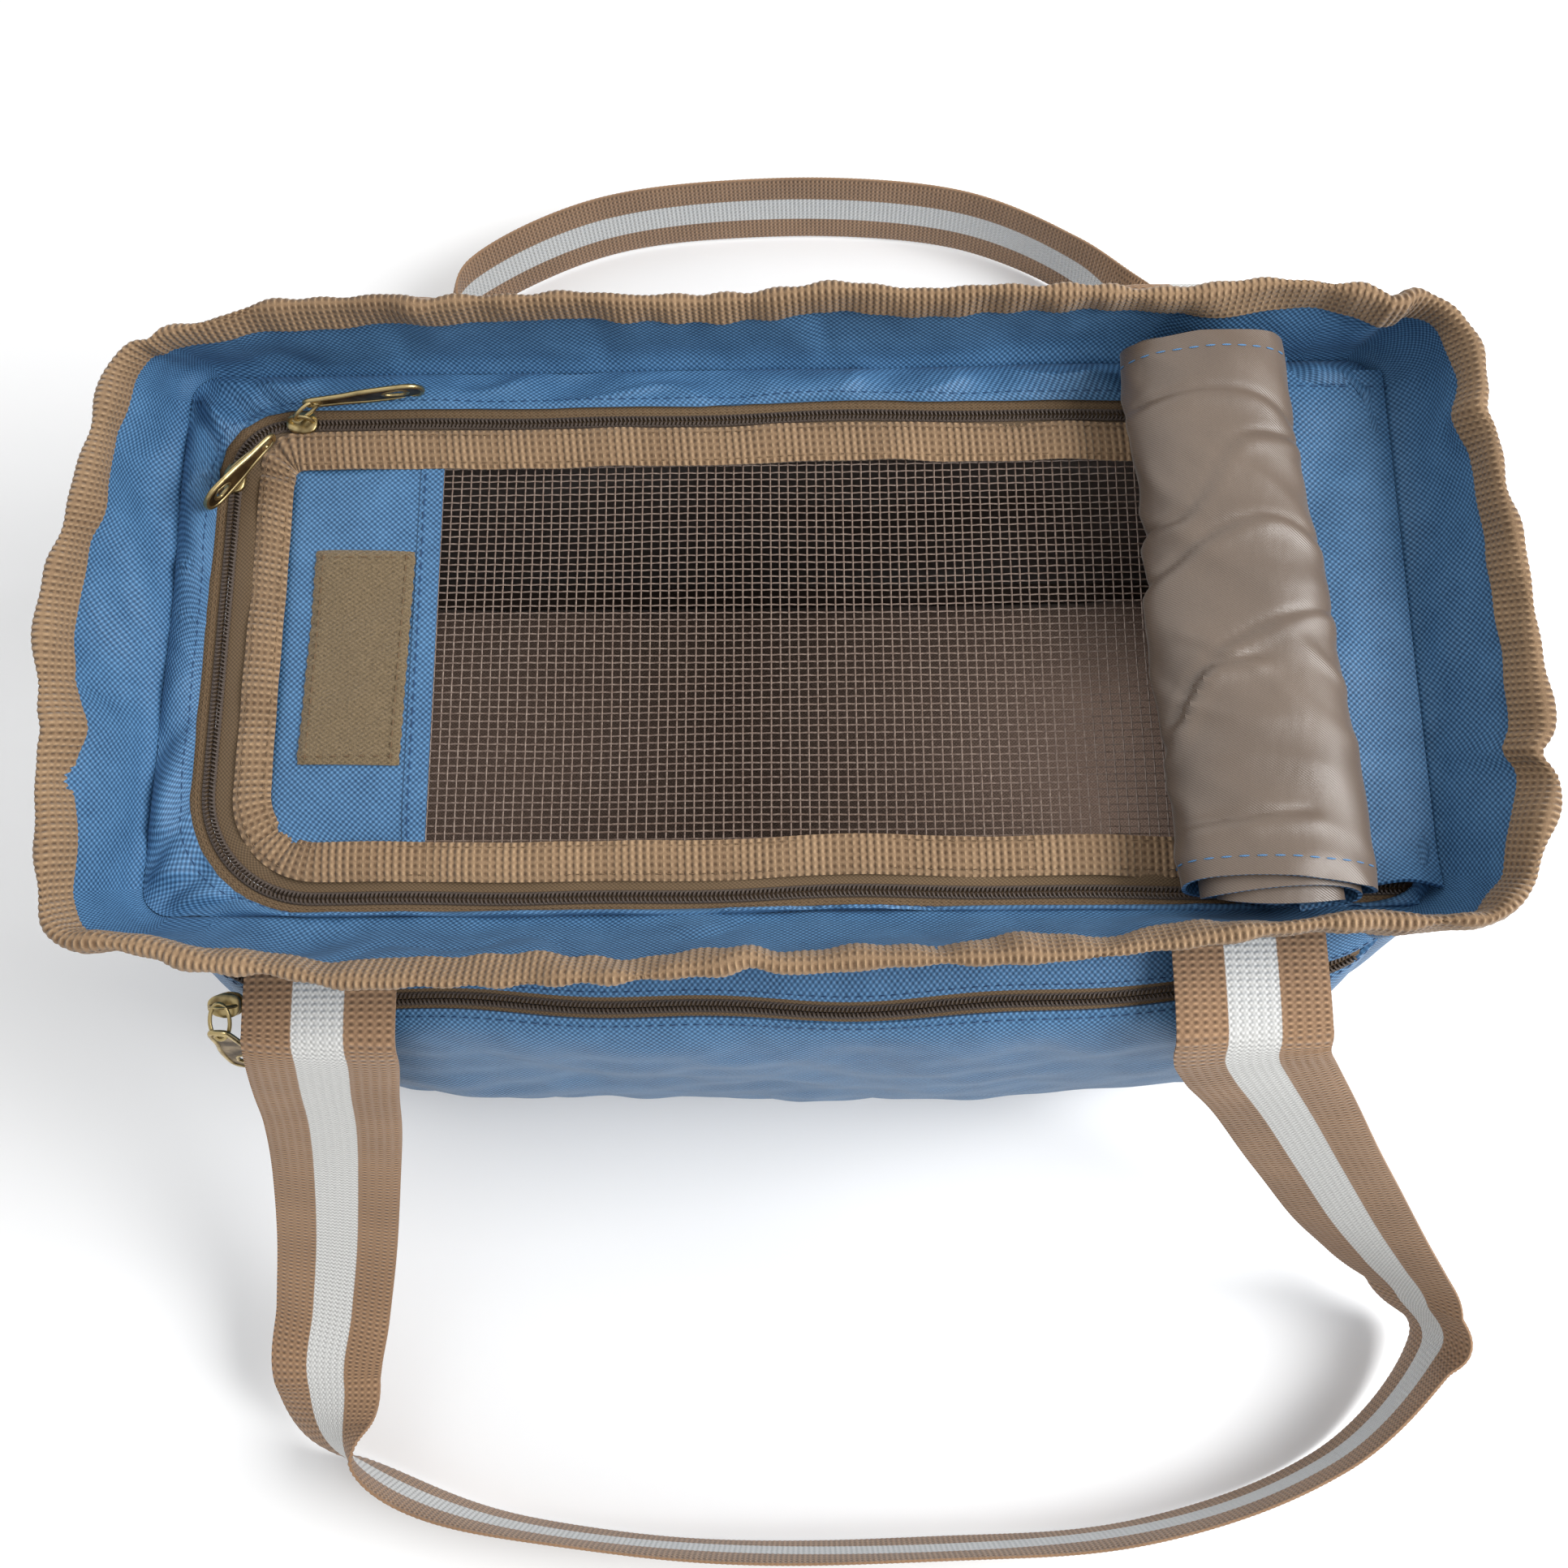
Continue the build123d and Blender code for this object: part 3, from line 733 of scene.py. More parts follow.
@dataclass(frozen=True)
class Oxford(Finish):
    """Coated basket-weave polyester: small light dots in staggered rows over a darker ground."""

    name: str = "blue_oxford"
    dark: Colour = (0.010, 0.046, 0.112)
    light: Colour = (0.125, 0.300, 0.540)
    pitch: float = 2.0

    def paint(self, graph: Graph) -> None:
        """Builds the nodes."""
        u, v = graph.cloth()
        dots = staggered(u, v, self.pitch, self.pitch)
        cloudy = graph.noise(60, 3)
        creased = graph.noise(11, 3)
        thread = graph.noise(0.9, 2)
        share = dots**1.6 * 0.88 + cloudy * 0.26 + creased * 0.28 + thread * 0.34 - 0.36
        colour = graph.mix(share, self.dark, self.light)
        graph.surface(colour, 0.58 - dots * 0.14, Sheen_Weight=0.03, Specular_IOR_Level=0.38)
        graph.bump(dots * 0.9 + thread * 0.5 + creased * 2.6 + cloudy * 2.0, 0.22, 0.9)


@dataclass(frozen=True)
class RibbedTape(Finish):
    """Grosgrain tape: beaded ribs that cross it."""

    name: str = "tan_binding"
    dark: Colour = (0.078, 0.038, 0.016)
    light: Colour = (0.440, 0.292, 0.168)
    rib: float = 2.3
    bead: float = 1.15

    def paint(self, graph: Graph) -> None:
        """Builds the nodes. The tape runs along the first cloth coordinate."""
        u, v = graph.cloth()
        beads = staggered(u, v, self.rib, self.bead * 2)
        ribs = (u * (TAU / self.rib)).cos() * 0.5 + 0.5
        worn = graph.noise(35, 3)
        fibre = graph.noise(0.5, 2)
        share = beads * 0.34 + ribs * 0.44 + worn * 0.36 + fibre * 0.36 - 0.26
        colour = graph.mix(share, self.dark, self.light)
        graph.surface(colour, 0.78, Sheen_Weight=0.2, Specular_IOR_Level=0.25)
        graph.bump(beads * 0.7 + ribs * 1.2 + fibre * 0.4, 0.42, 0.95)


@dataclass(frozen=True)
class StripedWebbing(Finish):
    """Handle webbing: brown ribs with a white stripe along its middle."""

    name: str = "striped_webbing"
    dark: Colour = (0.070, 0.034, 0.016)
    light: Colour = (0.480, 0.292, 0.165)
    shade: Colour = (0.36, 0.36, 0.35)
    white: Colour = (0.78, 0.78, 0.76)
    width: float = 50.0
    stripe: float = 17.0
    rib: float = 2.25

    def paint(self, graph: Graph) -> None:
        """Builds the nodes. The webbing runs along the first cloth coordinate."""
        u, v = graph.cloth()
        beads = staggered(u, v, self.rib, 3.0)
        ribs = (u * (TAU / self.rib)).cos() * 0.5 + 0.5
        fibre = graph.noise(0.5, 2)
        worn = graph.noise(30, 2)
        share = beads * 0.5 + ribs * 0.3 + worn * 0.3 + fibre * 0.35 - 0.22
        brown = graph.mix(share, self.dark, self.light)
        dashes = staggered(u, v, self.rib, 1.5)
        white = graph.mix(dashes * 0.75 + fibre * 0.3, self.shade, self.white)
        wobble = (fibre - 0.5) * 0.5
        middle = (v - self.width / 2 + wobble).size()
        inside = 1.0 - middle.step(self.stripe / 2 - 0.25, self.stripe / 2 + 0.25)
        colour = graph.mix(inside, brown, white)
        graph.surface(colour, 0.72, Sheen_Weight=0.15, Specular_IOR_Level=0.3)
        graph.bump(beads + ribs + fibre * 0.3, 0.3, 0.9)


@dataclass(frozen=True)
class PlainWeave(Finish):
    """A matt woven cloth or tape."""

    name: str = "lining"
    dark: Colour = (0.030, 0.019, 0.014)
    light: Colour = (0.095, 0.063, 0.048)
    wide: float = 1.0
    high: float = 1.0
    relief: float = 0.12
    roughness: float = 0.8

    def paint(self, graph: Graph) -> None:
        """Builds the nodes."""
        u, v = graph.cloth()
        dots = staggered(u, v, self.wide, self.high)
        cloudy, fibre = graph.noise(50, 3), graph.noise(0.5, 2)
        share = dots * 0.55 + cloudy * 0.4 + fibre * 0.25 - 0.1
        colour = graph.mix(share, self.dark, self.light)
        graph.surface(colour, self.roughness, Sheen_Weight=0.15, Specular_IOR_Level=0.25)
        graph.bump(dots + fibre * 0.4, self.relief)


@dataclass(frozen=True)
class Satin(Finish):
    """Glossy twill lining with fine slanted lines."""

    name: str = "brown_satin"
    dark: Colour = (0.060, 0.041, 0.030)
    light: Colour = (0.205, 0.150, 0.110)
    pitch: float = 0.85

    def paint(self, graph: Graph) -> None:
        """Builds the nodes."""
        u, v = graph.cloth()
        lines = ((u + v * 0.8) * (TAU / self.pitch)).cos() * 0.5 + 0.5
        cloudy, fibre = graph.noise(45, 3), graph.noise(0.4, 1)
        soft = graph.noise(24, 3, (1, 0.5, 1))
        share = lines * 0.26 + cloudy * 0.62 + fibre * 0.2 - 0.06
        colour = graph.mix(share, self.dark, self.light)
        gloss = {"Specular_IOR_Level": 0.75, "Sheen_Weight": 0.3, "Sheen_Roughness": 0.3}
        graph.surface(colour, 0.34 + cloudy * 0.12, **gloss)
        graph.bump(lines * 0.4 + soft * 9.0 + fibre * 0.3, 0.12)


@dataclass(frozen=True)
class CoatedCord(Finish):
    """Glossy coated strands of the open mesh, with painted highlights in pale flecks."""

    name: str = "brown_mesh"
    colour: Colour = (0.130, 0.084, 0.064)
    # pale: colour of the painted highlights on the strands
    pale: Colour = (0.470, 0.370, 0.305)

    def paint(self, graph: Graph) -> None:
        """Builds the nodes."""
        rough = graph.noise(1.2, 2)
        # Noise mixes in the pale colour as painted highlights; the same noise also varies the roughness
        colour = graph.mix(rough**2.0, self.colour, self.pale)
        graph.surface(colour, 0.24 + rough * 0.12, Coat_Weight=0.6, Coat_Roughness=0.16)
        graph.bump(rough, 0.06)


@dataclass(frozen=True)
class Coil(Finish):
    """Moulded nylon zip coil, paler in small random flecks."""

    name: str = "zip_coil"
    dark: Colour = (0.040, 0.027, 0.020)
    pale: Colour = (0.150, 0.113, 0.090)

    def paint(self, graph: Graph) -> None:
        """Builds the nodes."""
        rough = graph.noise(0.6, 2)
        graph.surface(graph.mix(rough**1.5, self.dark, self.pale), 0.48 + rough * 0.15)
        graph.bump(rough, 0.03)


@dataclass(frozen=True)
class Brass(Finish):
    """Antique brass: warm metal with dark tarnish and fine scratches."""

    name: str = "antique_brass"
    bright: Colour = (0.560, 0.440, 0.215)
    tarnish: Colour = (0.115, 0.075, 0.035)
    tarnished: float = 0.35

    def paint(self, graph: Graph) -> None:
        """Builds the nodes."""
        patches, scratch = graph.noise(6, 4), graph.noise(0.8, 3, (1, 1, 6))
        share = patches.step(self.tarnished - 0.2, self.tarnished + 0.25)
        colour = graph.mix(share, self.tarnish, self.bright)
        graph.surface(colour, 0.46 - share * 0.16 + scratch * 0.08, Metallic=1.0)
        graph.bump(scratch * 0.6 + patches * 0.4, 0.05)


@dataclass(frozen=True)
class LoopPile(Finish):
    """The fuzzy side of a hook-and-loop patch, in rows."""

    name: str = "hook_and_loop"
    dark: Colour = (0.085, 0.058, 0.028)
    light: Colour = (0.370, 0.270, 0.155)

    def paint(self, graph: Graph) -> None:
        """Builds the nodes."""
        u, v = graph.cloth()
        rows = staggered(u, v, 2.4, 1.7)
        fuzz, fine = graph.noise(0.9, 3), graph.noise(0.35, 2)
        share = rows * 0.3 + fuzz * 0.7 + fine * 0.6 - 0.45
        colour = graph.mix(share, self.dark, self.light)
        graph.surface(colour, 0.92, Sheen_Weight=0.3, Specular_IOR_Level=0.15)
        graph.bump(rows * 0.3 + fuzz + fine * 0.9, 0.5)


@dataclass(frozen=True)
class Thread(Finish):
    """Sewing thread with a slight twist."""

    name: str = "thread"
    colour: Colour = (0.10, 0.24, 0.44)

    def paint(self, graph: Graph) -> None:
        """Builds the nodes."""
        u, v = graph.cloth()
        twist = ((u + v) * (TAU / 0.7)).cos() * 0.5 + 0.5
        dim = tuple(c * 0.55 for c in self.colour)
        graph.surface(graph.mix(twist * 0.7 + graph.noise(0.6) * 0.3, dim, self.colour), 0.55)
        graph.bump(twist, 0.06)


@dataclass(frozen=True)
class Board(Finish):
    """Grey-brown stiffening board with a fine grain."""

    name: str = "base_board"

    def paint(self, graph: Graph) -> None:
        """Builds the nodes."""
        grain = graph.noise(2.5, 4)
        graph.surface(graph.mix(grain, (0.05, 0.045, 0.04), (0.12, 0.11, 0.10)), 0.7)
        graph.bump(grain, 0.1)


@dataclass(frozen=True)
class Floor(Finish):
    """The pale floor of the studio."""

    name: str = "studio_floor"

    def paint(self, graph: Graph) -> None:
        """Builds the nodes."""
        graph.surface((0.93, 0.93, 0.93), 0.9)


OXFORD = Oxford()
TAPE = RibbedTape()
EDGE_TAPE = RibbedTape("tan_edge", rib=2.6, bead=1.3)
WEBBING = StripedWebbing()
LINING = PlainWeave("brown_lining")
FLEECE = PlainWeave("mat_cover", (0.130, 0.086, 0.066), (0.330, 0.232, 0.182), 1.6, 1.6, 0.2, 0.9)
ZIP_TAPE = PlainWeave("olive_tape", (0.070, 0.042, 0.020), (0.205, 0.135, 0.074), 1.5, 1.1, 0.15)
SATIN = Satin()
MESH_CORD = CoatedCord()
COIL = Coil()
BRASS = Brass()
DARK_BRASS = Brass("dark_brass", (0.30, 0.21, 0.10), (0.06, 0.038, 0.018), 0.5)
LOOP_PILE = LoopPile()
BLUE_THREAD = Thread("blue_thread", (0.105, 0.270, 0.520))
NAVY_THREAD = Thread("navy_thread", (0.020, 0.075, 0.190))
BROWN_THREAD = Thread("brown_thread", (0.210, 0.125, 0.060))
BOARD = Board()
FLOOR = Floor()


# ---------------------------------------------------------------- form of the body


SEAM_Z = 257.0
RIM_Z = 295.0
SEAM_X = 186.0


class Side(Enum):
    """The four runs of the body's outline, seen from above against the clock."""

    FRONT = 0
    RIGHT = 1
    BACK = 2
    LEFT = 3


@dataclass
class BodyForm:
    """The soft box: its outline at any height, with the waves and pleats of its rim."""

    heights: tuple[float, ...] = (0.0, 100.0, 257.0, 295.0, 333.0)
    half_lengths: tuple[float, ...] = (223.0, 228.0, 215.0, 236.0, 257.0)
    backs: tuple[float, ...] = (120.0, 122.0, 102.0, 106.0, 110.0)
    fronts: tuple[float, ...] = (120.0, 122.0, 102.0, 126.0, 150.0)
    corners: tuple[float, ...] = (34.0, 36.0, 13.0, 28.0, 32.0)
    long_steps: int = 160
    arc_steps: int = 16
    side_steps: int = 60
    front_rim: tuple[Spot, ...] = (
        (-186, -5), (-162, -4), (-110, 1), (-64, 2), (-15, -2), (34, -4), (80, -6), (131, -10), (186, -16),
    )
    right_rim: tuple[Spot, ...] = ((-110, -14), (-90, -7), (-67, 4), (-25, 3), (31, -3), (83, -4))
    left_rim: tuple[Spot, ...] = ((-100, -11), (-85, -9), (-50, -3), (-19, 0), (30, -4), (67, -9))
    back_rim: tuple[Spot, ...] = ((-186, -3), (-60, 0), (60, -1), (186, -2))
    pleats: tuple[tuple[float, float, float, float], ...] = (
        (-212, -112, 9.0, 6.0),
        (-214, 100, 5.0, 6.0),
        (222, -102, 6.0, 7.0),
        (205, 106, 5.0, 6.0),
        (236, -58, 5.0, 4.5),
        (232, 58, 4.5, 4.5),
        (-233, -45, 2.5, 5.0),
        (-10, -124, 2.5, 6.0),
        (-120, 105, 2.0, 7.0),
        (70, -120, 2.0, 6.0),
    )

    def __post_init__(self) -> None:
        """Sets up the waves of the cloth."""
        self.long_folds = Ripple(11, 60, 150, (0.4, 0.45, 1.0))
        self.short_folds = Ripple(12, 24, 60, (0.5, 0.5, 1.0))
        self.waves = Ripple(13, 70, 170, (1, 1, 0.01))
        self.lip_folds = Ripple(14, 34, 90, (1.0, 1.0, 0.9))

    def outline(self, heights: Array) -> Array:
        """The plain outline at each height.

        Args:
            heights: heights in millimetres.

        Returns:
            One row of points for each height, against the clock from the left end of the front.
        """
        a, b, f, r = (
            np.interp(heights, self.heights, values)[:, None]
            for values in (self.half_lengths, self.backs, self.fronts, self.corners)
        )
        front = np.linspace(-SEAM_X, SEAM_X, self.long_steps, endpoint=False)[None]
        bit = np.linspace(0, 1, 5, endpoint=False)[None]
        arc = np.linspace(0, math.pi / 2, self.arc_steps, endpoint=False)[None]
        side = np.linspace(0, 1, self.side_steps, endpoint=False)[None]
        flat = a - r
        x_end = [SEAM_X + (flat - SEAM_X) * bit, flat + r * np.sin(arc), a + 0 * side]
        x_end += [flat + r * np.cos(arc), flat + (SEAM_X - flat) * bit]
        y_end = [-f + 0 * bit, -f + r - r * np.cos(arc), (-f + r) + (b + f - 2 * r) * side]
        y_end += [b - r + r * np.sin(arc), b + 0 * bit]
        x_end, y_end = np.hstack(x_end), np.hstack(y_end)
        y_left = b - f - y_end
        x = np.hstack([front + 0 * a, x_end, -front + 0 * a, -x_end])
        y = np.hstack([-f + 0 * front, y_end, b + 0 * front, y_left])
        return np.stack([x, y, heights[:, None] + 0 * x], -1)

    def span(self, side: Side) -> Array:
        """Numbers of the columns on one side, its last one shared with the next side."""
        end_steps = 10 + 2 * self.arc_steps + self.side_steps
        starts = np.cumsum([0, self.long_steps, end_steps, self.long_steps, end_steps])
        total = starts[-1]
        return np.arange(starts[side.value], starts[side.value + 1] + 1) % total

    def rim_reach(self, rim: Array) -> Array:
        """How far the rim stands outside its plain outline at each column."""
        reach = np.zeros(rim.shape[0])
        x, y = rim[:, 0], rim[:, 1]
        for side, knots, place in (
            (Side.FRONT, self.front_rim, x),
            (Side.RIGHT, self.right_rim, y),
            (Side.BACK, self.back_rim, x),
            (Side.LEFT, self.left_rim, y),
        ):
            columns = self.span(side)
            reach[columns] = np.interp(place[columns], *np.array(knots, float).T)
        window = np.hanning(15)[1:-1]
        wrapped = np.concatenate([reach[-6:], reach, reach[:6]])
        return np.convolve(wrapped, window / window.sum(), "valid")

    def surface(self, heights: Sequence[float], inset: float | Sequence[float] = 0.0) -> Array:
        """The wall at each height, as far inside its outer face as the inset says.

        Args:
            heights: heights in millimetres.
            inset: distance inside the outer face, one for all or one for each height.

        Returns:
            One row of points for each height, closed round the body.
        """
        z = np.asarray(heights, float)
        grid = self.outline(z)
        rim = self.outline(np.array([RIM_Z]))[0]
        ahead = np.roll(grid, -1, 1) - np.roll(grid, 1, 1)
        out = unit(np.stack([ahead[..., 1], -ahead[..., 0], 0 * ahead[..., 0]], -1))
        share = np.clip((z - SEAM_Z) / (RIM_Z - SEAM_Z), 0, 1.1)[:, None]
        reach = self.rim_reach(rim)[None] * share
        soft = np.interp(
            z, [0, 30, 120, 235, SEAM_Z, 266, 285, 300], [0.2, 1.2, 2.0, 1.0, 0.3, 1.7, 1.5, 1.3]
        )
        reach = reach + soft[:, None] * (0.75 * self.long_folds(grid) + 0.35 * self.short_folds(grid))
        reach = reach - 2.2 * np.interp(z, [SEAM_Z - 12, SEAM_Z - 2, SEAM_Z + 5], [0, 1, 0])[:, None]
        for x, y, depth, width in self.pleats:
            away = np.hypot(rim[:, 0] - x, rim[:, 1] - y)
            reach = reach - depth * bell(away, width)[None] * share**1.2
        slack = np.sin(np.pi * np.clip(share, 0, 1)) * (z > SEAM_Z)[:, None]
        slanted = grid * np.array([1.0, 1.0, 0.6])
        reach = reach + slack * (1.5 * self.lip_folds(slanted) + 1.9 * self.lip_folds.folds(slanted) ** 3)
        lift = share**2 * 2.0 * self.waves(rim)[None]
        grid = grid + out * (reach - np.broadcast_to(np.reshape(inset, (-1, 1)), reach.shape))[..., None]
        grid[..., 2] += lift
        return grid


def fine_columns(grid: Array, count: int, closed: bool) -> Array:
    """The same grid with evenly spaced columns.

    Args:
        grid: rows and columns of points.
        count: number of columns wanted.
        closed: whether the last column meets the first.

    Returns:
        The new grid.
    """
    if closed:
        grid = np.concatenate([grid, grid[:, :1]], 1)
    along = lengths_along(grid[len(grid) // 2])
    wanted = np.linspace(0, along[-1], count + 1 if closed else count)[:count]
    place = np.interp(wanted, along, np.arange(len(along)))
    low = np.minimum(place.astype(int), grid.shape[1] - 2)
    part = (place - low)[None, :, None]
    return grid[:, low] * (1 - part) + grid[:, low + 1] * part


FORM = BodyForm()


# ---------------------------------------------------------------- walls


@dataclass
class Window:
    """The rounded mesh window in an end."""

    width: float = 130.0
    height: float = 120.0
    middle: float = 135.0
    corner: float = 26.0

    def inside(self, y: Array, z: Array, grow: float = 0.0) -> Array:
        """Which places lie inside the window's outline, grown by an amount."""
        r = self.corner + grow
        dy = np.maximum(np.abs(y) - (self.width / 2 + grow - r), 0)
        dz = np.maximum(np.abs(z - self.middle) - (self.height / 2 + grow - r), 0)
        return np.hypot(dy, dz) < r

    def edge(self, grow: float, count: int) -> Array:
        """The outline, grown by an amount, as evenly spaced y and z pairs."""
        r = self.corner + grow
        a, b = self.width / 2 + grow - r, self.height / 2 + grow - r
        parts = []
        for quarter, (cy, cz) in enumerate(((a, b), (-a, b), (-a, -b), (a, -b))):
            angle = np.linspace(quarter * math.pi / 2, (quarter + 1) * math.pi / 2, 14)
            parts.append(np.stack([cy + r * np.cos(angle), self.middle + cz + r * np.sin(angle)], 1))
        line = np.vstack(parts + [parts[0][:1]])
        line = np.hstack([line, np.zeros((len(line), 1))])
        return resample(line, count, True)[:, :2]


@dataclass
class Walls:
    """The four padded panels, their corner cords, the rim's binding and the end windows."""

    thickness: float = 2.0
    top: float = 290.0
    cord: float = 2.4
    window: Window = field(default_factory=Window)
    binding_step: float = 0.6

    def build(self) -> None:
        """Builds all the pieces of the walls."""
        for side in (Side.FRONT, Side.BACK, Side.LEFT, Side.RIGHT):
            self.panel(side, side.name.lower())
        for x, end in ((-SEAM_X, "left"), (SEAM_X, "right")):
            for side, face in ((Side.FRONT, "front"), (Side.BACK, "back")):
                self.corner_cord(side, x, f"{face}_{end}_piping")
        self.rim_binding()
        for sign, end in ((-1, "left"), (1, "right")):
            self.window_mesh(sign, end)
            self.window_binding(sign, end)

    def panel(self, side: Side, name: str) -> None:
        """One wall, from the base to the rim, with the window's opening in an end."""
        heights = stepped((1.5, 72, 20), (75, 240, 64), (243, self.top, 22))
        columns = FORM.span(side)
        outer = FORM.surface(heights)[:, columns]
        inner = FORM.surface(heights, self.thickness)[:, columns]
        keep = None
        end = side in (Side.LEFT, Side.RIGHT)
        if end:
            middle = (outer[:-1, :-1] + outer[1:, 1:]) / 2
            beside = np.abs(middle[..., 0]) > 195
            keep = ~(self.window.inside(middle[..., 1], middle[..., 2]) & beside)
        pattern = Pattern()
        pattern.slab(outer, inner, keep=keep)
        row = FORM.surface([262.0 if end else 279.0], -0.2)[0, columns]
        normals = grid_normals(outer)[90]
        pattern.stitches(row, normals, 2.6, 1.5, 0.28)
        node = f"{name}_end_panel" if end else f"{name}_panel"
        settle(pattern.make(f"{name}_wall", (OXFORD, NAVY_THREAD)), "carrier", "blue_oxford", node)

    def corner_cord(self, side: Side, x: float, name: str) -> None:
        """The corded seam between a long wall and an end."""
        heights = np.linspace(8, 284, 90)
        rows = FORM.surface(heights, -0.8)
        columns = FORM.span(side)
        column = columns[0] if (x < 0) == (side is Side.FRONT) else columns[-1]
        pattern = Pattern()
        pattern.tube(rows[:, column], self.cord * 0.95, 10)
        settle(pattern.make(name + "_cord", (OXFORD,)), "carrier", "blue_oxford", name)

    def rim_binding(self) -> None:
        """The ribbed tape folded over the rim."""
        inside = [(286.6, 3.0), (288.5, 3.2), (290.5, 3.25), (292.5, 3.2), (294.4, 3.0)]
        over = [(295.7, 2.6), (296.5, 1.8), (296.8, 1.0), (296.5, 0.2), (295.7, -0.6)]
        outside = [(294.4, -1.0), (292.5, -1.2), (290.5, -1.25), (288.5, -1.2), (286.6, -1.0)]
        section = np.array(inside + over + outside)[::-1]
        grid = FORM.surface(section[:, 0], section[:, 1])
        length = lengths_along(grid[7])[-1]
        count = round(length / TAPE.rib)
        grid = fine_columns(grid, count * RIB_STEPS, True)
        wobble = Ripple(21, 14, 40)(grid)[..., None] * grid_normals(grid, close_cols=True)
        grid = grid + 0.8 * wobble
        phase = np.arange(count * RIB_STEPS) * TAU / RIB_STEPS
        slant = np.abs(np.arange(len(section)) - 7)[:, None] * 0.35
        relief = 0.16 * np.cos(phase[None] + slant)
        grid = grid + grid_normals(grid, close_cols=True) * relief[..., None]
        pattern = Pattern()
        pattern.cloth(grid, 1.1, ribbed_map(grid, count, TAPE.rib, True), close_cols=True)
        piece = pattern.make("rim_tape", (TAPE,), 75)
        settle(piece, "carrier", "tan_binding", "rim_binding")

    def on_end(self, sign: int, y: Array, z: Array, out: float) -> Array:
        """Points on an end wall.

        Args:
            sign: 1 for the right end, -1 for the left.
            y: places across the end.
            z: heights.
            out: distance outside the wall's face.

        Returns:
            The points.
        """
        heights = np.linspace(60, 210, 31)
        side = Side.RIGHT if sign > 0 else Side.LEFT
        wall = FORM.surface(heights, -out)[:, FORM.span(side)]
        order = np.argsort(wall[:, :, 1], axis=1)
        ys = np.take_along_axis(wall[:, :, 1], order, 1)
        xs = np.take_along_axis(wall[:, :, 0], order, 1)
        at = np.linspace(-75, 75, 61)
        table = np.stack([np.interp(at, row_y[8:-8], row_x[8:-8]) for row_y, row_x in zip(ys, xs)])
        i = np.clip((z - 60) / 5, 0, 29.999)
        j = np.clip((y + 75) / 2.5, 0, 59.999)
        a, b = i.astype(int), j.astype(int)
        s, t = i - a, j - b
        x = table[a, b] * (1 - s) * (1 - t) + table[a + 1, b] * s * (1 - t)
        x = x + table[a, b + 1] * (1 - s) * t + table[a + 1, b + 1] * s * t
        return np.stack([x, y, z], -1)

    def window_mesh(self, sign: int, end: str) -> None:
        """The open mesh of a window."""
        pattern = Pattern()
        w = self.window
        for upright in (True, False):
            pitch, cross = (3.2, 2.6) if upright else (2.6, 3.2)
            reach = (w.width if upright else w.height) / 2 + 1
            other = (w.height if upright else w.width) / 2 + 2
            for n in range(-int(reach / pitch), int(reach / pitch) + 1):
                steps = np.arange(-int(other / cross) * 2, int(other / cross) * 2 + 1)
                along, place = steps * cross / 2, np.full(len(steps), n * pitch)
                y, z = (place, along + w.middle) if upright else (along, place + w.middle)
                inside = w.inside(y, z, 2.0)
                if inside.sum() < 4:
                    continue
                weave = 0.28 * np.cos(steps * math.pi / 2 + n * math.pi + (0 if upright else math.pi))
                line = self.on_end(sign, y, z, -0.9)
                line[:, 0] += sign * np.where(steps % 2 == 0, weave, 0)
                pattern.tube(line[inside], 0.27, 4)
        piece = pattern.make(f"{end}_window_net", (MESH_CORD,), 80)
        settle(piece, "carrier", "brown_mesh", f"{end}_window_mesh")

    def window_binding(self, sign: int, end: str) -> None:
        """The tape sewn round a window."""
        rib_count = round(2 * (self.window.width + self.window.height) * 0.9 / TAPE.rib)
        count = RIB_STEPS * rib_count
        rows = []
        for grow, out in ((-4.5, -0.6), (-4.2, 0.9), (-2, 1.5), (0.5, 1.6), (3, 1.5), (5.0, 0.9)):
            edge = self.window.edge(grow, count)
            rows.append(self.on_end(sign, edge[:, 0], edge[:, 1], out))
        grid = np.stack(rows)
        grid = grid[::-1] if sign < 0 else grid
        grid[..., 0] += sign * ribs(count, 0.12)[None]
        maps = ribbed_map(grid, rib_count, TAPE.rib, True)
        pattern = Pattern()
        pattern.cloth(grid[::-1], 1.1, maps, close_cols=True)
        for grow in (-2.8, 3.6):
            edge = self.window.edge(grow, 300)
            line = self.on_end(sign, edge[:, 0], edge[:, 1], 2.1)
            pattern.stitches(line, (float(sign), 0, 0), 2.4, 1.4, 0.25)
        piece = pattern.make(f"{end}_window_tape", (TAPE, BROWN_THREAD), 75)
        settle(piece, "carrier", "tan_binding", f"{end}_window_binding")


# ---------------------------------------------------------------- base and lining


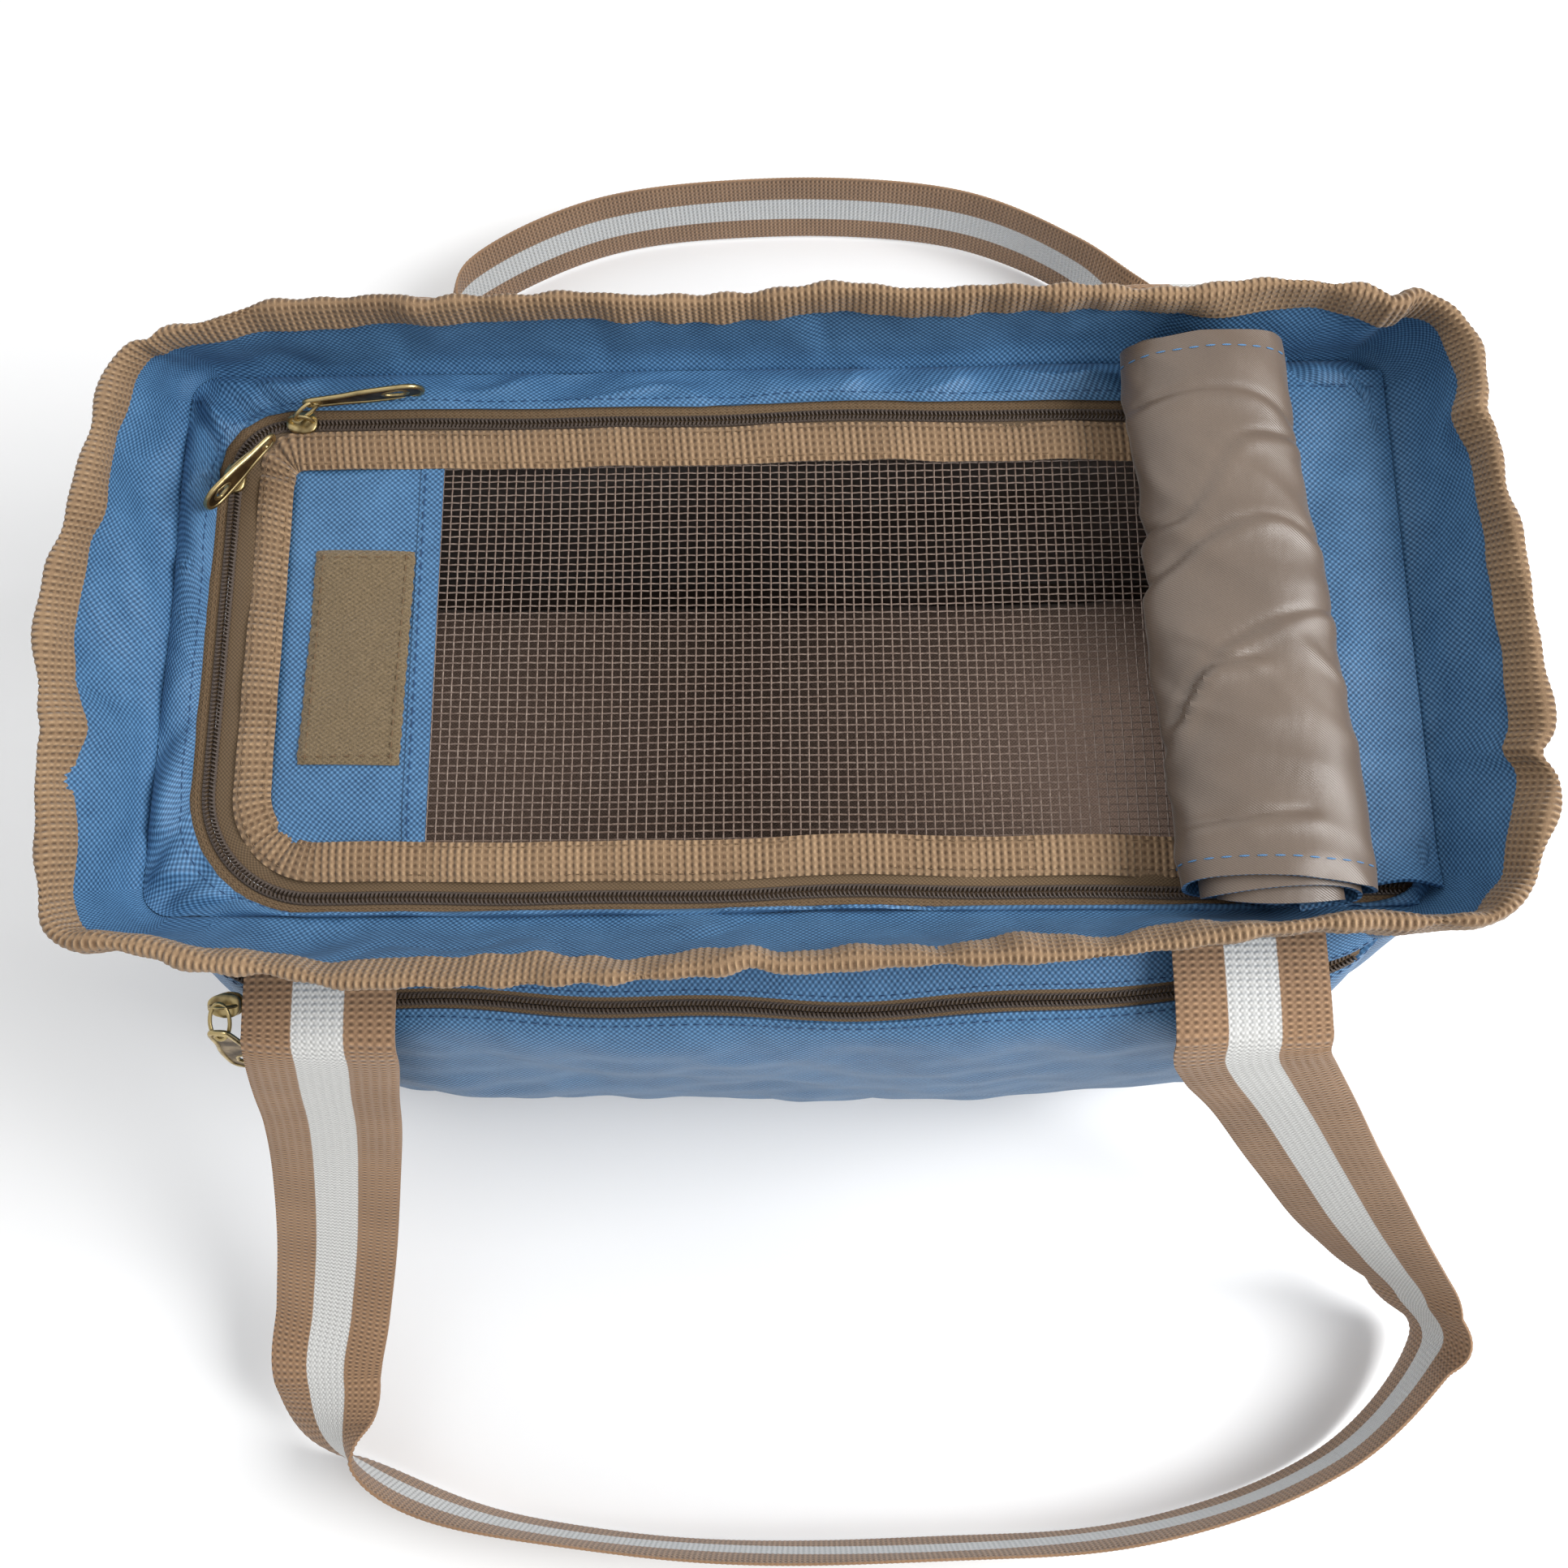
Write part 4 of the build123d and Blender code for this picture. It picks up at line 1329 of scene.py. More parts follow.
@dataclass
class Base:
    """The bottom panel with its corded edge, the board and the padded mat inside."""

    mat_bottom: float = 6.9
    mat_thick: float = 16.6
    mat_size: tuple[float, float] = (427.0, 221.0)

    def build(self) -> None:
        """Builds the base's pieces."""
        outline = FORM.surface([0.9])[0]
        rings = [outline * np.array([s, s, 1]) for s in (1.0, 0.985, 0.93, 0.8, 0.6, 0.4, 0.2, 0.03)]
        grid = np.stack(rings)
        lift = Ripple(31, 60, 140)(grid) * 0.25
        top, bottom = grid.copy(), grid.copy()
        top[..., 2], bottom[..., 2] = 1.9, np.maximum(0.35 + lift, 0.0)
        pattern = Pattern()
        pattern.slab(bottom, top, close_cols=True)
        settle(pattern.make("base_cloth", (OXFORD,)), "carrier", "blue_oxford", "base_panel")
        cord = Pattern()
        cord.tube(FORM.surface([4.2], -3.2)[0], 2.5, 10, closed=True)
        settle(cord.make("base_cord", (OXFORD,)), "carrier", "blue_oxford", "base_piping")
        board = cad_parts["base_board"]
        board.data.materials.clear()
        board.data.materials.append(BOARD.material())
        self.mat()
        self.lining()

    def lining(self) -> None:
        """The loose brown lining of the cabin, with openings at the windows."""
        heights = stepped((5.6, 70, 18), (75, 205, 52), (210, 255.4, 14))
        outer = FORM.surface(heights, 2.1)
        fade = np.interp(heights, [5, 60, 200, 255], [0, 1, 1, 0])[:, None]
        slack = Ripple(33, 50, 130, (0.7, 0.7, 1))(outer) * fade
        ahead = np.roll(outer, -1, 1) - np.roll(outer, 1, 1)
        inward = unit(np.stack([-ahead[..., 1], ahead[..., 0], 0 * ahead[..., 0]], -1))
        inner = outer + inward * (1.2 + 0.9 * np.abs(slack))[..., None]
        middle = (outer[:-1] + outer[1:]) / 2
        opening = Window().inside(middle[..., 1], middle[..., 2], 1.0) & (np.abs(middle[..., 0]) > 195)
        pattern = Pattern()
        pattern.slab(outer, inner, close_cols=True, keep=~opening)
        ring = FORM.surface([5.6], 2.1)[0]
        floor_rows = np.stack([ring * np.array([s, s, 1]) for s in (1.0, 0.98, 0.8, 0.5, 0.2, 0.02)])
        top = floor_rows.copy()
        top[..., 2] = 6.4
        floor_rows[..., 2] = 5.2
        pattern.slab(floor_rows, top, close_cols=True)
        settle(pattern.make("cabin_cloth", (LINING,)), "carrier", "brown_lining", "cabin_lining")

    def mat(self) -> None:
        """The padded mat: a thin pad blown up by cloth simulation, then sewn in channels."""
        length, width = self.mat_size
        mesh = bpy.data.meshes.new("mat_cushion")
        form = bmesh.new()
        bmesh.ops.create_cube(form, size=1.0)
        slack = 3.0
        lift = self.mat_bottom + self.mat_thick / 2
        for vertex in form.verts:
            vertex.co = Vector(
                (
                    vertex.co.x * (length - 2 * slack) * MM,
                    vertex.co.y * (width - 2 * slack) * MM,
                    (vertex.co.z * (self.mat_thick - 7) + lift) * MM,
                )
            )
        upright = [e for e in form.edges if abs((e.verts[0].co - e.verts[1].co).z) > 1 * MM]
        bmesh.ops.bevel(form, geom=upright, offset=30 * MM, segments=8, profile=0.5, affect="EDGES")
        form.to_mesh(mesh)
        form.free()
        piece = bpy.data.objects.new("mat_cushion", mesh)
        bpy.context.scene.collection.objects.link(piece)
        bpy.context.view_layer.objects.active = piece
        remesh = piece.modifiers.new("remesh", "REMESH")
        remesh.mode, remesh.voxel_size = "VOXEL", 0.006
        bpy.ops.object.modifier_apply(modifier="remesh")
        self.inflate(piece)
        self.quilt(piece)
        piece.data.materials.clear()
        piece.data.materials.append(FLEECE.material())
        settle(piece, "carrier", "mat_fleece", "base_mat")

    def inflate(self, piece: bpy.types.Object) -> None:
        """Blows the pad up with cloth simulation and keeps its points within its own space."""
        before = np.array([v.co[:] for v in piece.data.vertices])
        cloth = piece.modifiers.new("cloth", "CLOTH")
        cloth.settings.use_pressure = True
        cloth.settings.uniform_pressure_force = 3.0
        cloth.settings.quality = 5
        cloth.settings.effector_weights.gravity = 0.0
        scene = bpy.context.scene
        for step in range(1, 13):
            scene.frame_set(step)
        evaluated = piece.evaluated_get(bpy.context.evaluated_depsgraph_get())
        after = np.array([v.co[:] for v in evaluated.data.vertices])
        piece.modifiers.remove(cloth)
        scene.frame_set(1)
        move = after - before
        size = np.linalg.norm(move, axis=1, keepdims=True)
        move *= np.minimum(1.0, 4.0 * MM / np.maximum(size, 1e-9))
        piece.data.vertices.foreach_set("co", (before + move).astype(np.float32).ravel())

    def quilt(self, piece: bpy.types.Object) -> None:
        """Sews channels along the mat, puffs it between them and keeps it in its own space."""
        count = len(piece.data.vertices)
        co = np.zeros(count * 3, np.float32)
        piece.data.vertices.foreach_get("co", co)
        co = co.reshape(-1, 3).astype(float) / MM
        middle = self.mat_bottom + self.mat_thick / 2
        edge = np.minimum(self.mat_size[0] / 2 - np.abs(co[:, 0]), self.mat_size[1] / 2 - np.abs(co[:, 1]))
        channel = bell((co[:, 0] + 36) % 72 - 36, 4.0)
        crown = np.clip(edge / 25, 0, 1) ** 0.5
        height = (co[:, 2] - middle) * (0.82 + 0.35 * crown)
        height = np.where(height > 0, height - 2.4 * channel + 0.7 * Ripple(34, 40, 90)(co), height)
        co[:, 2] = np.clip(middle + height, self.mat_bottom, self.mat_bottom + self.mat_thick)
        piece.data.vertices.foreach_set("co", (co * MM).astype(np.float32).ravel())
        piece.data.update()
        layer = piece.data.uv_layers.new(name=CLOTH_MAP)
        index = np.zeros(len(piece.data.loops), np.int32)
        piece.data.loops.foreach_get("vertex_index", index)
        layer.data.foreach_set("uv", co[index][:, :2].astype(np.float32).ravel())
        piece.data.shade_smooth()


# ---------------------------------------------------------------- top panel, door and zip


@dataclass
class ZipRun:
    """The door zip's centre line: along the back, round the left end and along the front."""

    back: float = 79.0
    left: float = -192.5
    front: float = -93.0
    back_corner: float = 18.0
    front_corner: float = 38.0
    height: float = 257.0

    def path(self, back: float, left: float, front: float, right: float, step: float = 2.4) -> Array:
        """A line beside the zip, further out on each side by its own distance.

        Args:
            back: distance outside the zip along the back.
            left: distance outside it at the left end.
            front: distance outside it along the front.
            right: where the line starts and ends.
            step: spacing of its points.

        Returns:
            Points from the right end of the back round to the right end of the front.
        """
        y1, x0, y0 = self.back + back, self.left - left, self.front - front
        r1 = max(self.back_corner + (back + left) / 2, 2.0)
        r0 = max(self.front_corner + (front + left) / 2, 4.0)
        long_count, arc_count, side_count = (int(n / step) for n in (390, 48, 130))
        arc = np.linspace(0, math.pi / 2, arc_count, endpoint=False)
        even, descent = np.zeros(long_count), np.linspace(y1 - r1, y0 + r0, side_count, endpoint=False)
        parts = [
            np.stack([np.linspace(right, x0 + r1, long_count, endpoint=False), y1 + 0 * even], 1),
            np.stack([x0 + r1 - r1 * np.sin(arc), y1 - r1 + r1 * np.cos(arc)], 1),
            np.stack([x0 + 0 * descent, descent], 1),
            np.stack([x0 + r0 - r0 * np.cos(arc), y0 + r0 - r0 * np.sin(arc)], 1),
            np.stack([np.linspace(x0 + r0, right, long_count), y0 + 0 * even], 1),
        ]
        line = np.vstack(parts)
        sway = 0.7 * np.sin(line[:, 0] / 31.0 + 0.6) + 0.4 * np.sin(line[:, 0] / 13.0)
        calm = np.clip((line[:, 0] - self.left - 50) / 60, 0, 1)
        calm *= np.clip((right - 25 - line[:, 0]) / 40, 0, 1)
        line[:, 1] += sway * calm
        return np.hstack([line, np.full((len(line), 1), self.height)])

    def even(self, offset: float, right: float, step: float = 2.4) -> Array:
        """A line at one distance outside the zip."""
        return self.path(offset, offset, offset, right, step)


ZIP = ZipRun()


def coil_teeth(pattern: Pattern, line: Array, inward: float, up: Array, finish: int = 0) -> None:
    """Adds one row of a moulded coil: slanted teeth on a core.

    Args:
        pattern: the piece that takes them.
        line: the zip's centre line, evenly spaced or not.
        inward: -1 for the row on the line's right, 1 for the row on its left.
        up: unit direction away from the zip's face.
        finish: which of the piece's finishes they take.
    """
    pitch = 1.45
    even = resample(line, int(lengths_along(line)[-1] / pitch))
    ahead = unit(np.gradient(even, axis=0))
    rise = np.broadcast_to(up, even.shape)
    side = unit(np.cross(rise, ahead)) * inward
    slanted = unit(side + ahead * 0.42)
    cross = unit(np.cross(rise, slanted))
    centres = even + side * 1.02 + ahead * (0.0 if inward > 0 else pitch / 2) + rise * 0.25
    pattern.beads(centres, (slanted, cross, unit(np.cross(slanted, cross))), (1.16, 0.5, 0.78), finish, 6, 3)
    pattern.tube(even + side * 1.75 - rise * 0.15, 0.5, 6, finish=finish)


@dataclass
class TopFrame:
    """The blue panel round the door, with the outer half of the zip."""

    hem: float = 5.4
    right: float = 206.0
    fold_depth: float = 1.35
    folds: tuple[Fold, ...] = (
        ((-188, 82), (-214, 101), 3.4, 4.2),
        ((-178, 84), (-196, 101), 2.6, 3.0),
        ((-196, 64), (-214, 92), 2.4, 3.4),
        ((-186, -78), (-212, -100), 3.6, 4.6),
        ((-172, -90), (-206, -101), 2.6, 3.0),
        ((-197, -60), (-213, -90), 2.4, 4.0),
        ((-197, -30), (-213, -42), 1.6, 4.0),
        ((-197, 22), (-213, 34), 1.6, 5.0),
    )

    def build(self) -> None:
        """Builds the panel, its tape and its coil."""
        self.panel()
        self.tape()
        pattern = Pattern()
        coil_teeth(pattern, ZIP.even(0, self.right - 2), -1, UP)
        settle(pattern.make("frame_teeth", (COIL,)), "carrier", "zip_coil", "frame_zip_coil")

    def opening(self, counts: Sequence[int]) -> Array:
        """The panel's inner edge, split like the body's outline: front, right, back, left."""
        line = ZIP.path(self.hem, self.hem + 0.5, self.hem + 0.4, self.right)
        reverse = line[::-1]
        corner_x = ZIP.left - self.hem
        sides = [
            reverse[reverse[:, 1] < ZIP.front + 2],
            np.array([[self.right, y, ZIP.height] for y in (ZIP.front - self.hem, ZIP.back + self.hem)]),
            line[line[:, 1] > ZIP.back - 2],
        ]
        left = line[(line[:, 0] < corner_x + 60) & (line[:, 1] <= ZIP.back + 3)]
        left = left[left[:, 1] >= ZIP.front - 3]
        front = sides[0][np.argsort(sides[0][:, 0])]
        back = sides[2][np.argsort(-sides[2][:, 0])]
        left = left[(left[:, 1] < back[-1, 1]) & (left[:, 1] > front[0, 1])]
        parts = [front, sides[1], back, np.vstack([back[-1:], left, front[:1]])]
        return np.vstack([resample(part, n, True) for part, n in zip(parts, counts)])

    def panel(self) -> None:
        """The puffed cloth between the zip and the walls."""
        end_steps = 10 + 2 * FORM.arc_steps + FORM.side_steps
        outer = FORM.surface([SEAM_Z - 0.6], 2.2)[0]
        inner = self.opening((FORM.long_steps, end_steps, FORM.long_steps, end_steps))
        inner = np.hstack([inner[:, :2], np.full((len(inner), 1), ZIP.height + 1.0)])
        share = np.linspace(0, 1, 18)
        grid = outer[None] * (1 - share[:, None, None]) + inner[None] * share[:, None, None]
        width = np.linalg.norm((outer - inner)[:, :2], axis=1)
        arch = np.sin(np.pi * np.clip(share, 0, 1)) ** 0.7
        room = np.clip(width / 16, 0.1, 1.15)
        sharp = Ripple(42, 22, 55, (0.5, 1, 0.1)).folds(grid) ** 3
        wrinkles = Ripple(41, 26, 80, (0.6, 1, 0.1))(grid) + 1.3 * sharp
        puff = arch[:, None] * room[None] * (2.4 + 1.5 * wrinkles)
        grid[..., 2] += puff
        grid[..., 2] -= self.fold_depth * pressed(grid, self.folds) * arch[:, None]
        pattern = Pattern()
        top = grid + grid_normals(grid, close_cols=True) * 0.6
        bottom = grid - grid_normals(grid, close_cols=True) * 0.6
        pattern.slab(top, bottom, close_cols=True)
        seam = top[-2]
        pattern.stitches(seam[: FORM.long_steps], UP, 2.5, 1.4, 0.25)
        back = slice(FORM.long_steps + end_steps, None)
        pattern.stitches(top[-4][back], UP, 2.5, 1.4, 0.25)
        settle(pattern.make("top_cloth", (OXFORD, NAVY_THREAD)), "carrier", "blue_oxford", "top_frame")

    def tape(self) -> None:
        """The zip tape between the coil and the panel's hem."""
        rows = [ZIP.even(offset, self.right) for offset in (9.0, 7.0, 5.0, 3.4, 2.2, 0.2)]
        grid = np.stack(rows)
        grid[..., 2] -= np.array([0.5, 0.5, 0.5, 0.6, 0.9, 1.2])[:, None]
        inside = np.minimum(grid[..., 1], 99.5)
        grid[..., 1] = np.maximum(inside, -99.3)
        pattern = Pattern()
        pattern.cloth(grid, 0.7)
        for offset in (3.3, 4.5):
            line = ZIP.even(offset, self.right - 2) + np.array([0, 0, -0.1])
            pattern.stitches(line, UP, 1.7, 1.0, 0.2)
        piece = pattern.make("frame_tape", (ZIP_TAPE, BROWN_THREAD))
        settle(piece, "carrier", "olive_tape", "frame_zip_tape")


@dataclass
class Door:
    """The mesh door: its net, blue end panel, ribbed binding, patch and inner half of the zip."""

    right: float = 203.0
    panel_x: float = -119.0
    pitch_x: float = 3.2
    pitch_y: float = 2.6
    strand: float = 0.27
    patch_size: tuple[float, float] = (34.0, 77.0)
    patch_centre: tuple[float, float] = (-145.0, -9.0)
    pleats: tuple[Fold, ...] = (
        ((-184, 74), (-171, 61), 1.7, 1.6),
        ((-190, 62), (-173, 58), 1.2, 1.5),
        ((-180, -77), (-168, -70), 1.0, 1.8),
        ((-172, -86), (-162, -74), 0.8, 1.6),
    )

    def build(self) -> None:
        """Builds the door's pieces."""
        self.net()
        self.end_panel()
        self.binding()
        self.patch()
        self.tape()
        pattern = Pattern()
        coil_teeth(pattern, ZIP.even(0, self.right - 1), 1, UP)
        settle(pattern.make("door_teeth", (COIL,)), "door", "zip_coil", "door_zip_coil")

    def sag(self, x: Array, y: Array) -> Array:
        """How far the slack door hangs at a place."""
        u, v = (x + 119) / 322, (y + 83.3) / 152.6
        bowl = np.clip(u * (1 - u) * 4, 0, 1) * np.clip(v * (1 - v) * 4, 0, 1)
        points = np.stack([x, y, 0 * x], -1)
        return -2.6 * bowl + 0.9 * Ripple(51, 60, 150)(points) * np.clip(bowl * 3, 0, 1)

    def net(self) -> None:
        """The woven net: strands that pass over and under each other."""
        pattern = Pattern()
        x0, x1, y0, y1 = self.panel_x - 3, self.right, -81.5, 68.0
        columns, rows = int((x1 - x0) / self.pitch_x), int((y1 - y0) / self.pitch_y)
        random = np.random.default_rng(52)
        for lengthwise in (True, False):
            lines, cells = (rows, columns) if lengthwise else (columns, rows)
            for n in range(lines + 1):
                k = np.arange(cells * 2 + 1)
                over = np.where(k % 2 == 0, np.cos((k // 2 + n + (not lengthwise)) * math.pi), 0.0)
                drift = random.normal(0, 0.05) + 0.12 * np.sin(k / 31 + n)
                if lengthwise:
                    x, y = x0 + k * self.pitch_x / 2, y0 + n * self.pitch_y + drift
                else:
                    x, y = x0 + n * self.pitch_x + drift, y0 + k * self.pitch_y / 2
                x, y = np.broadcast_arrays(x, y)
                z = 256.4 + self.sag(x, y) + over * 0.22
                path = np.stack([x, y, z], -1).astype(float)
                pattern.tube(path, self.strand, 4)
        settle(pattern.make("door_net", (MESH_CORD,), 80), "door", "brown_mesh", "door_mesh")

    def panel_rise(self, x: Array, y: Array) -> Array:
        """Height of the end panel's cloth above the zip at a place."""
        share = np.clip((x + 180) / (180 + self.panel_x), 0, 1)
        points = np.stack([x, y, 256.9 + 0 * x], -1)
        return 0.9 * Ripple(53, 30, 90)(points) * np.sin(np.pi * share) + self.sag(x, y) * 0.3

    def end_panel(self) -> None:
        """The blue cloth at the left end, with its hem over the net."""
        edge = ZIP.path(-7, -12, -7, self.right, 2.0)
        edge = edge[edge[:, 0] < self.panel_x]
        rows = 70
        ys = np.linspace(ZIP.front + 7.2, ZIP.back - 7.2, rows)
        left = np.interp(ys, edge[::-1, 1], edge[::-1, 0])
        share = np.linspace(0, 1, 40)
        x = left[:, None] * (1 - share) + self.panel_x * share
        y = np.broadcast_to(ys[:, None], x.shape)
        inward = np.minimum(np.minimum(ys - ys[0], ys[-1] - ys)[:, None], x - left[:, None])
        tucked = 1.4 * (1 - np.clip((inward - 6) / 6, 0, 1))
        grid = np.stack([x, y, 256.9 + self.panel_rise(x, y) - tucked], -1)
        pattern = Pattern()
        pattern.cloth(grid, 1.0)
        hem = grid[:, -5:].copy()
        hem[..., 2] += 0.75
        hem[..., 0] += np.linspace(-1.2, 0.4, 5)
        pattern.cloth(hem, 0.7)
        seam = resample(hem[:, 0], 160) + np.array([1.6, 0, 0.42])
        pattern.stitches(seam, UP, 3.0, 1.6, 0.3)
        piece = pattern.make("door_end_cloth", (OXFORD, NAVY_THREAD))
        settle(piece, "door", "blue_oxford", "door_end_panel")

    def binding(self) -> None:
        """The ribbed tape round the door, pleated at its corners."""
        outer = ZIP.path(-3.6, -9.2, -5.2, self.right, 2.0)
        inner = ZIP.path(-18.0, -21.2, -18.4, self.right, 2.0)
        share = np.linspace(0, 1, 11)[:, None, None]
        grid = outer[None] * (1 - share) + inner[None] * share
        count = round(lengths_along(grid[5])[-1] / TAPE.rib)
        grid = fine_columns(grid, count * RIB_STEPS, False)
        s = share[..., 0]
        crown = 0.9 * (1 - np.abs(2 * s - 1) ** 3)
        grid[..., 2] += 1.0 + crown + 0.7 * Ripple(54, 18, 60)(grid)
        grid[..., 2] -= pressed(grid, self.pleats)
        grid[..., 2] += ribs(count * RIB_STEPS, 0.17)[None]
        pattern = Pattern()
        pattern.cloth(grid, 1.3, ribbed_map(grid, count, TAPE.rib, False))
        for offsets in ((-5.6, -11.2, -7.2), (-16.2, -19.6, -16.8)):
            line = ZIP.path(*offsets, self.right - 2)
            line[:, 2] += 2.35
            pattern.stitches(line, UP, 2.2, 1.5, 0.24)
        piece = pattern.make("door_tape_edge", (EDGE_TAPE, BROWN_THREAD), 75)
        settle(piece, "door", "tan_binding", "door_binding")

    def patch(self) -> None:
        """The hook-and-loop patch with its sewn border."""
        (cx, cy), (width, length) = self.patch_centre, self.patch_size
        x = np.linspace(-width / 2, width / 2, 30)
        y = np.linspace(-length / 2, length / 2, 62)
        gx, gy = np.meshgrid(x, y)
        wave = 0.2 * np.sin(gy / 4.1) * (np.abs(gx) < width / 2 - 3)
        z = 258.2 + wave + 0.25 * Ripple(55, 12, 30)(np.stack([gx, gy, 0 * gx], -1))
        z = z + self.panel_rise(cx + gx, cy + gy)
        edge = np.minimum(width / 2 - np.abs(gx), length / 2 - np.abs(gy))
        z = z - 0.7 * bell(edge, 1.0)
        ragged = 0.3 * np.sin(gy * 1.3) * (np.abs(gx) > width / 2 - 0.4)
        grid = np.stack([cx + gx + ragged + 0.02 * gy, cy + gy - 0.02 * gx, z], -1)
        pattern = Pattern()
        pattern.cloth(grid, 1.1)
        a, b = width / 2 - 2.6, length / 2 - 2.6
        box = np.array([[-a, -b], [a, -b], [a, b], [-a, b], [-a, -b]])
        for start, end in zip(box, box[1:]):
            line = np.linspace(start, end, 40)
            line = np.hstack([line + np.array([cx, cy]), np.full((40, 1), 258.85)])
            line[:, 2] += self.panel_rise(line[:, 0], line[:, 1])
            line[:, 0] += 0.02 * (line[:, 1] - cy)
            pattern.stitches(line, UP, 2.4, 1.3, 0.26)
        piece = pattern.make("door_loop_patch", (LOOP_PILE, BROWN_THREAD))
        settle(piece, "door", "hook_and_loop", "door_patch")

    def tape(self) -> None:
        """The zip tape between the coil and the binding."""
        grid = np.stack(
            [
                ZIP.path(-0.2, -0.2, -0.2, self.right),
                ZIP.path(-2.4, -3.0, -2.4, self.right),
                ZIP.path(-4.0, -6.0, -4.4, self.right),
                ZIP.path(-6.5, -9.5, -7.0, self.right),
                ZIP.path(-8.5, -12.5, -9.5, self.right),
            ]
        )
        grid[..., 2] += np.array([-1.2, -0.8, 0.1, 0.2, 0.1])[:, None]
        pattern = Pattern()
        pattern.cloth(grid, 0.7)
        settle(pattern.make("door_tape", (ZIP_TAPE,)), "door", "olive_tape", "door_zip_tape")


# ---------------------------------------------------------------- rolled cover


